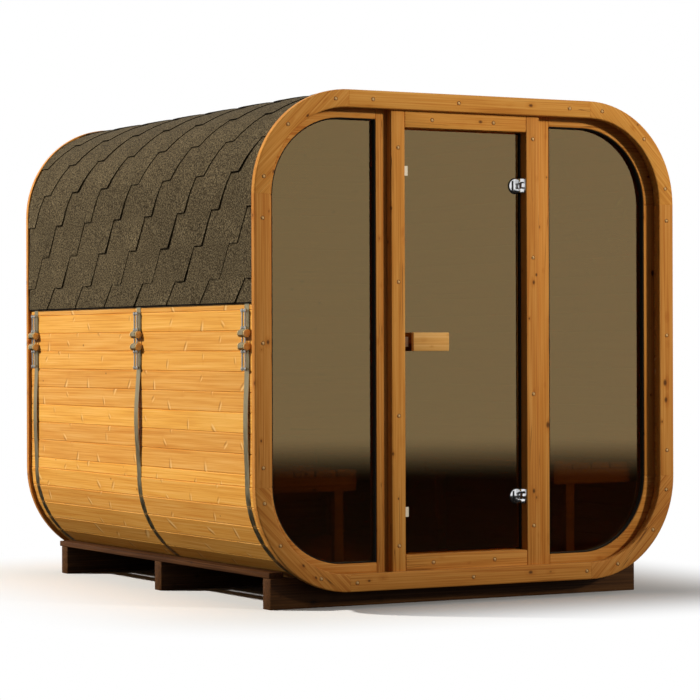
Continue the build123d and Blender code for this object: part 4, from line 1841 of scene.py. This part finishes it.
    def build(self) -> None:
        """Builds every course of both slopes and joins them into one roof."""
        low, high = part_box("shingle_roof")
        start, end = low.y + self.end_gap, high.y - self.end_gap
        draw = random.Random(self.seed)
        drops = (self.first_exposure, self.exposure, self.exposure)
        masters = [self.flat_strip(offset, drop, start, end) for offset, drop in zip(self.offsets, drops)]
        plain = self.flat_strip(0.0, self.exposure, start, end, False)
        slope = self.section.roof_run(self.inset, low.z) - self.first_exposure
        pieces = []
        for side in (-1, 1):
            pieces.append(self.lay(plain, -self.exposure, self.exposure, side, start, low.z, draw))
            pieces.append(self.lay(masters[0], 0.0, drops[0], side, start + self.offsets[0], low.z, draw))
            for course in range(math.ceil(slope / self.exposure)):
                kind = 1 + course % 2
                foot = self.first_exposure + course * self.exposure
                offset = start + self.offsets[kind]
                pieces.append(self.lay(masters[kind], foot, drops[kind], side, offset, low.z, draw))
        for master in (*masters, plain):
            bpy.data.objects.remove(master.obj)
        pieces.extend(self.underlay_shade_edge(side, start, end, low.z) for side in (-1, 1))
        roof = Workpiece.merged("shingle_courses", [*pieces, self.ridge(start, end, draw)])
        roof.right_way_out()
        roof.dress("cabin", "shingle", self.finishes.shingle, "shingle_roof")


@dataclass
class HoopSet:
    """Steel hoops and their threaded tensioners."""

    finishes: Finishes
    bar_x: float = 1053.1 * MM
    level: float = 1.125
    spacing: float = 54 * MM
    bar_radius: float = 14 * MM
    bar_length: float = 62 * MM
    bar_inset: float = 1 * MM
    bar_sides: int = 32
    cap_radius: float = 16.6 * MM
    cap_width: float = 6 * MM
    cap_arris: float = 1.6 * MM
    rod_radius: float = 3.9 * MM
    rod_spacing: float = 26 * MM
    rod_length: float = 258 * MM
    rod_arris: float = 1 * MM
    rod_sides: int = 16
    nut_width: float = 13 * MM
    nut_height: float = 12 * MM
    nut_gap: float = 16.1 * MM
    nut_arris: float = 0.8 * MM
    nut_sides: int = 6
    end_gap: float = 3 * MM
    # How far each hoop bows out where it hangs slack below its tensioners.
    bows: tuple[tuple[str, float], ...] = (("front", 8 * MM), ("middle", 15 * MM), ("back", 8 * MM))
    bow_levels: tuple[float, float] = (0.50, 1.05)
    bow_steps: int = 12

    def slack_hoop(self, name: str, bow: float) -> None:
        """Bows the sides of one hoop below its tensioners.

        Args:
            name: Which hoop.
            bow: How far it bows out.
        """
        hoop = Workpiece.from_node(f"{name}_hoop_band", f"{name}_hoop")
        low, high = self.bow_levels
        for number in range(1, self.bow_steps):
            level = low + (high - low) * number / self.bow_steps
            hoop.cut((0, 0, level), (0, 0, 1), trim=False)
        for vertex in hoop.obj.data.vertices:
            share = (vertex.co.z - low) / (high - low)
            if 0 < share < 1:
                vertex.co.x += math.copysign(bow * math.sin(math.pi * share) ** 2, vertex.co.x)
        hoop.smooth()
        hoop.dress("cabin", "galvanised_steel", self.finishes.zinc, f"{name}_hoop")

    def bars(self) -> Workpiece:
        """Builds the two crossbars of one tensioner, with a copper washer on each end.

        Returns:
            The joined bars, about the tensioner's middle.
        """
        parts = []
        for lift in (-self.spacing / 2, self.spacing / 2):
            reach = self.bar_length / 2 - self.bar_inset
            bar = Workpiece.bar("bar", (0, -reach, lift), (0, reach, lift), self.bar_radius, self.bar_sides)
            bar.paint(self.finishes.zinc)
            parts.append(bar)
            for end in (-1, 1):
                outer = end * self.bar_length / 2
                inner = outer - end * self.cap_width
                cap = Workpiece.bar("cap", (0, inner, lift), (0, outer, lift), self.cap_radius, self.bar_sides)
                cap.soften(self.cap_arris, 3)
                cap.paint(self.finishes.copper)
                parts.append(cap)
        return Workpiece.merged("tensioner_bars", parts)

    def rods(self) -> Workpiece:
        """Builds the two threaded rods of one tensioner with their nuts.

        Returns:
            The joined rods, about the tensioner's middle.
        """
        parts = []
        nut_start = self.spacing / 2 + self.nut_gap
        for shift in (-self.rod_spacing / 2, self.rod_spacing / 2):
            reach = self.rod_length / 2
            rod = Workpiece.bar("rod", (0, shift, -reach), (0, shift, reach), self.rod_radius, self.rod_sides)
            rod.soften(self.rod_arris, 1)
            rod.paint(self.finishes.thread)
            parts.append(rod)
            starts = (nut_start, reach - self.end_gap - self.nut_height)
            for way, start in ((-1, starts[0]), (1, starts[0]), (-1, starts[1]), (1, starts[1])):
                width = self.nut_width / math.sqrt(3)
                nut = Workpiece.bar("nut", (0, shift, way * start), (0, shift, way * (start + self.nut_height)),
                                    width, self.nut_sides)
                nut.soften(self.nut_arris, 1)
                nut.paint(self.finishes.thread)
                parts.append(nut)
        return Workpiece.merged("tensioner_screws", parts)

    def build(self) -> None:
        """Sets the tensioners on both sides of each hoop and dresses the bands."""
        places = []
        for name, bow in self.bows:
            low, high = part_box(f"{name}_hoop")
            for side in (-1, 1):
                places.append((Vector((side * self.bar_x, (low.y + high.y) / 2, self.level)), 0.0))
            self.slack_hoop(name, bow)
        bars = self.bars()
        bars.copies(places)
        bars.smooth()
        bars.dress("cabin", "bar_metal", self.finishes.zinc, "tensioner_crossbars")
        rods = self.rods()
        rods.copies(places)
        rods.smooth()
        rods.dress("cabin", "galvanised_steel", self.finishes.thread, "tensioner_rods")


@dataclass
class Timbers:
    """Base bearers and ledges, and the benches inside, eased from their solids."""

    finishes: Finishes
    base_arris: float = 3.0 * MM
    bench_arris: float = 2.5 * MM
    eased_angle: float = 50.0
    bearer_seed: int = 150
    ledge_seed: int = 160
    seat_seed: int = 170
    trestle_seed: int = 180

    def ease(self, node: str, slot: str, material: Material, arris: float, seed: int) -> None:
        """Copies one solid, eases its edges and dresses it.

        Args:
            node: Solid that is copied.
            slot: Material slot of the record.
            material: Finish of the timber.
            arris: Width of its eased edges.
            seed: Seed of its tone.
        """
        piece = Workpiece.from_node(f"{node}_timber", node)
        piece.soften(arris, angle=self.eased_angle)
        piece.number(seed)
        piece.smooth()
        piece.dress("cabin", slot, material, node)

    def build(self) -> None:
        """Builds the base and the benches."""
        for seed, name in enumerate(("front", "middle", "back")):
            self.ease(f"{name}_bearer", "base_wood", self.finishes.bearer, self.base_arris, self.bearer_seed + seed)
        for seed, side in enumerate(("left", "right")):
            self.ease(f"{side}_ledge", "base_wood", self.finishes.ledge, self.base_arris, self.ledge_seed + seed)
            self.ease(f"{side}_bench_seat", "bench_wood", self.finishes.seat, self.bench_arris,
                      self.seat_seed + seed)
            self.ease(f"{side}_bench_trestles", "bench_wood", self.finishes.trestle, self.bench_arris,
                      self.trestle_seed + seed)


@dataclass(frozen=True)
class Lamp:
    """One soft lamp: square, or a cone that fades out to its edge where it has a beam in degrees."""

    name: str
    place: tuple[float, float, float]
    aim: tuple[float, float, float]
    size: float
    power: float
    beam: float = 0.0
    colour: str = "#FFFDF8"

    def hang(self) -> None:
        """Adds the lamp to the scene."""
        data = bpy.data.lights.new(self.name, "SPOT" if self.beam else "AREA")
        if self.beam:
            data.spot_size = math.radians(self.beam)
            data.spot_blend = 1.0
            data.shadow_soft_size = self.size / 2
        else:
            data.size = self.size
        data.energy = self.power
        data.color = srgb(self.colour)[:3]
        lamp = bpy.data.objects.new(self.name, data)
        lamp.location = self.place
        lamp.rotation_euler = (Vector(self.aim) - Vector(self.place)).to_track_quat("-Z", "Y").to_euler()
        lamp.visible_camera = False
        lamp.visible_glossy = False
        bpy.context.scene.collection.objects.link(lamp)


@dataclass
class Studio:
    """Pale floor, soft light and the camera."""

    yaw: float = math.radians(29.223)
    pitch: float = math.radians(-0.0579)
    roll: float = math.radians(-0.1868)
    place: tuple[float, float, float] = (-6.1051, -11.0502, 1.0926)
    focal_pixels: float = 2700.03
    image_pixels: float = 700.0
    sensor: float = 36.0
    sight: float = 200.0
    floor_half: float = 60.0
    floor_tint: str = "#F4F2EF"
    floor_roughness: float = 0.95
    sky: tuple[float, float, float] = (0.88, -0.2, 0.43)
    low_ambient: float = 0.05
    high_ambient: float = 0.42
    floor_bounce: float = 0.12
    floor_mirrored: float = 0.03
    lamps: tuple[Lamp, ...] = (
        Lamp("key_lamp", (-17.0, 11.2, 12.0), (-1.0, 0.0, 1.1), 1.0, 7300.0),
        Lamp("front_lamp", (5.4, -11.8, 5.1), (0.7, -1.2, 2.1), 1.2, 4450.0, 27.0))
    # Half sizes of the ground that the sauna covers.
    footprint: tuple[float, float] = (0.95, 1.15)
    # The floor turns white between these distances outside it, and further off where glass or metal mirrors it.
    fade: tuple[float, float] = (0.0, 1.1)
    mirrored_fade: tuple[float, float] = (10.0, 21.0)

    def camera(self) -> None:
        """Places the camera at the photograph's viewing angle."""
        data = bpy.data.cameras.new("camera")
        data.sensor_width = self.sensor
        data.lens = self.focal_pixels / self.image_pixels * self.sensor
        data.clip_end = self.sight
        ahead = Vector((math.sin(self.yaw) * math.cos(self.pitch), math.cos(self.yaw) * math.cos(self.pitch),
                        math.sin(self.pitch)))
        level = Vector((math.cos(self.yaw), -math.sin(self.yaw), 0))
        upright = level.cross(ahead)
        right = level * math.cos(self.roll) + upright * math.sin(self.roll)
        up = upright * math.cos(self.roll) - level * math.sin(self.roll)
        camera = bpy.data.objects.new("camera", data)
        bpy.context.scene.collection.objects.link(camera)
        turn = Matrix((right, up, -ahead)).transposed().to_4x4()
        camera.matrix_world = Matrix.Translation(self.place) @ turn
        bpy.context.scene.camera = camera

    def seen(self, tree: Tree) -> Socket:
        """Adds a mask of the rays that show the background: camera, glossy and transmission rays.

        A glossy ray that starts from a matt surface only carries light, so it is left out.

        Args:
            tree: Node tree that gets the mask.

        Returns:
            1 for rays that show the background, 0 for others.
        """
        path = add(tree, "LightPath")
        first = add(tree, "Math", {0: path.outputs["Is Camera Ray"], 1: path.outputs["Is Glossy Ray"]},
                    operation="MAXIMUM")
        shown = add(tree, "Math", {0: first, 1: path.outputs["Is Transmission Ray"]}, operation="MAXIMUM")
        direct = add(tree, "Math", {0: path.outputs["Diffuse Depth"], 1: 0.5}, operation="LESS_THAN")
        return add(tree, "Math", {0: shown, 1: direct}, operation="MULTIPLY").outputs[0]

    def floor(self) -> None:
        """Adds the pale floor, which keeps the shadow near the object and turns white far from it."""
        clear_selection()
        bpy.ops.mesh.primitive_plane_add(size=2 * self.floor_half, location=(0, 0, 0))
        obj = bpy.context.object
        obj.name = "studio_floor"
        material, tree, shader = new_material("pale_studio_floor")
        path = add(tree, "LightPath")
        mirrored = path.outputs["Is Glossy Ray"]
        bounce = add(tree, "MapRange", {"Value": path.outputs["Is Diffuse Ray"], "To Min": 1.0,
                                        "To Max": self.floor_bounce})
        level = add(tree, "Mix", {0: mirrored, 2: bounce, 3: self.floor_mirrored}, data_type="FLOAT")
        pale = add(tree, "VectorMath", {0: srgb(self.floor_tint)[:3], "Scale": level}, operation="SCALE")
        wire(tree, shader, {"Base Color": pale, "Roughness": self.floor_roughness, "Specular IOR Level": 0.0})
        spot = add(tree, "TexCoord").outputs["Object"]
        folded = add(tree, "VectorMath", {0: spot}, operation="ABSOLUTE")
        beyond = add(tree, "VectorMath", {0: folded, 1: (*self.footprint, 0.0)}, operation="SUBTRACT")
        outside = add(tree, "VectorMath", {0: beyond, 1: (0.0, 0.0, 0.0)}, operation="MAXIMUM")
        away = add(tree, "VectorMath", {0: outside}, operation="LENGTH")
        near, far = (add(tree, "Mix", {0: mirrored, 2: seen, 3: shown}, data_type="FLOAT").outputs[0]
                     for seen, shown in zip(self.fade, self.mirrored_fade))
        fade = add(tree, "MapRange", {"Value": away.outputs["Value"], "From Min": near, "From Max": far},
                   interpolation_type="SMOOTHSTEP")
        share = add(tree, "Math", {0: fade, 1: self.seen(tree)}, operation="MULTIPLY")
        glow = add(tree, "Emission", {"Color": (1, 1, 1, 1), "Strength": 1.0})
        mix = add(tree, "MixShader", {0: share, 1: shader, 2: glow})
        wire(tree, tree.nodes["Material Output"], {"Surface": mix})
        obj.data.materials.append(material)

    def world(self) -> None:
        """Sets a white surround that lights the object softly."""
        world = bpy.data.worlds.new("studio")
        world.use_nodes = True
        tree = world.node_tree
        way = add(tree, "TexCoord").outputs["Generated"]
        facing = add(tree, "VectorMath", {0: way, 1: self.sky}, operation="DOT_PRODUCT").outputs["Value"]
        sky = add(tree, "MapRange", {"Value": facing, "To Min": self.low_ambient, "To Max": self.high_ambient})
        strength = add(tree, "Mix", {0: self.seen(tree), 2: sky, 3: 1.0}, data_type="FLOAT")
        wire(tree, tree.nodes["Background"], {"Color": (1, 1, 1, 1), "Strength": strength})
        bpy.context.scene.world = world

    def build(self) -> None:
        """Sets up the studio."""
        self.camera()
        self.floor()
        self.world()
        for lamp in self.lamps:
            lamp.hang()
        bpy.context.scene.view_settings.view_transform = "Standard"


def main() -> None:
    """Builds the sauna's looks, piece by piece."""
    logging.basicConfig(level=logging.INFO, format="%(message)s")
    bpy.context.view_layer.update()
    section = Section.measured()
    finishes = Finishes(section.centre)
    caps = ScrewCaps(finishes)
    Studio().build()
    StaveBarrel(section, finishes).build()
    BackWall(finishes).build()
    TrimRing(section, finishes, caps, -1).build()
    TrimRing(section, finishes, caps, 1).build()
    FrontFrame(finishes, caps).build()
    caps.fit()
    GlassDoor(finishes).build()
    ShingleRoof(section, finishes).build()
    HoopSet(finishes).build()
    Timbers(finishes).build()


if __name__ == "__main__":
    main()
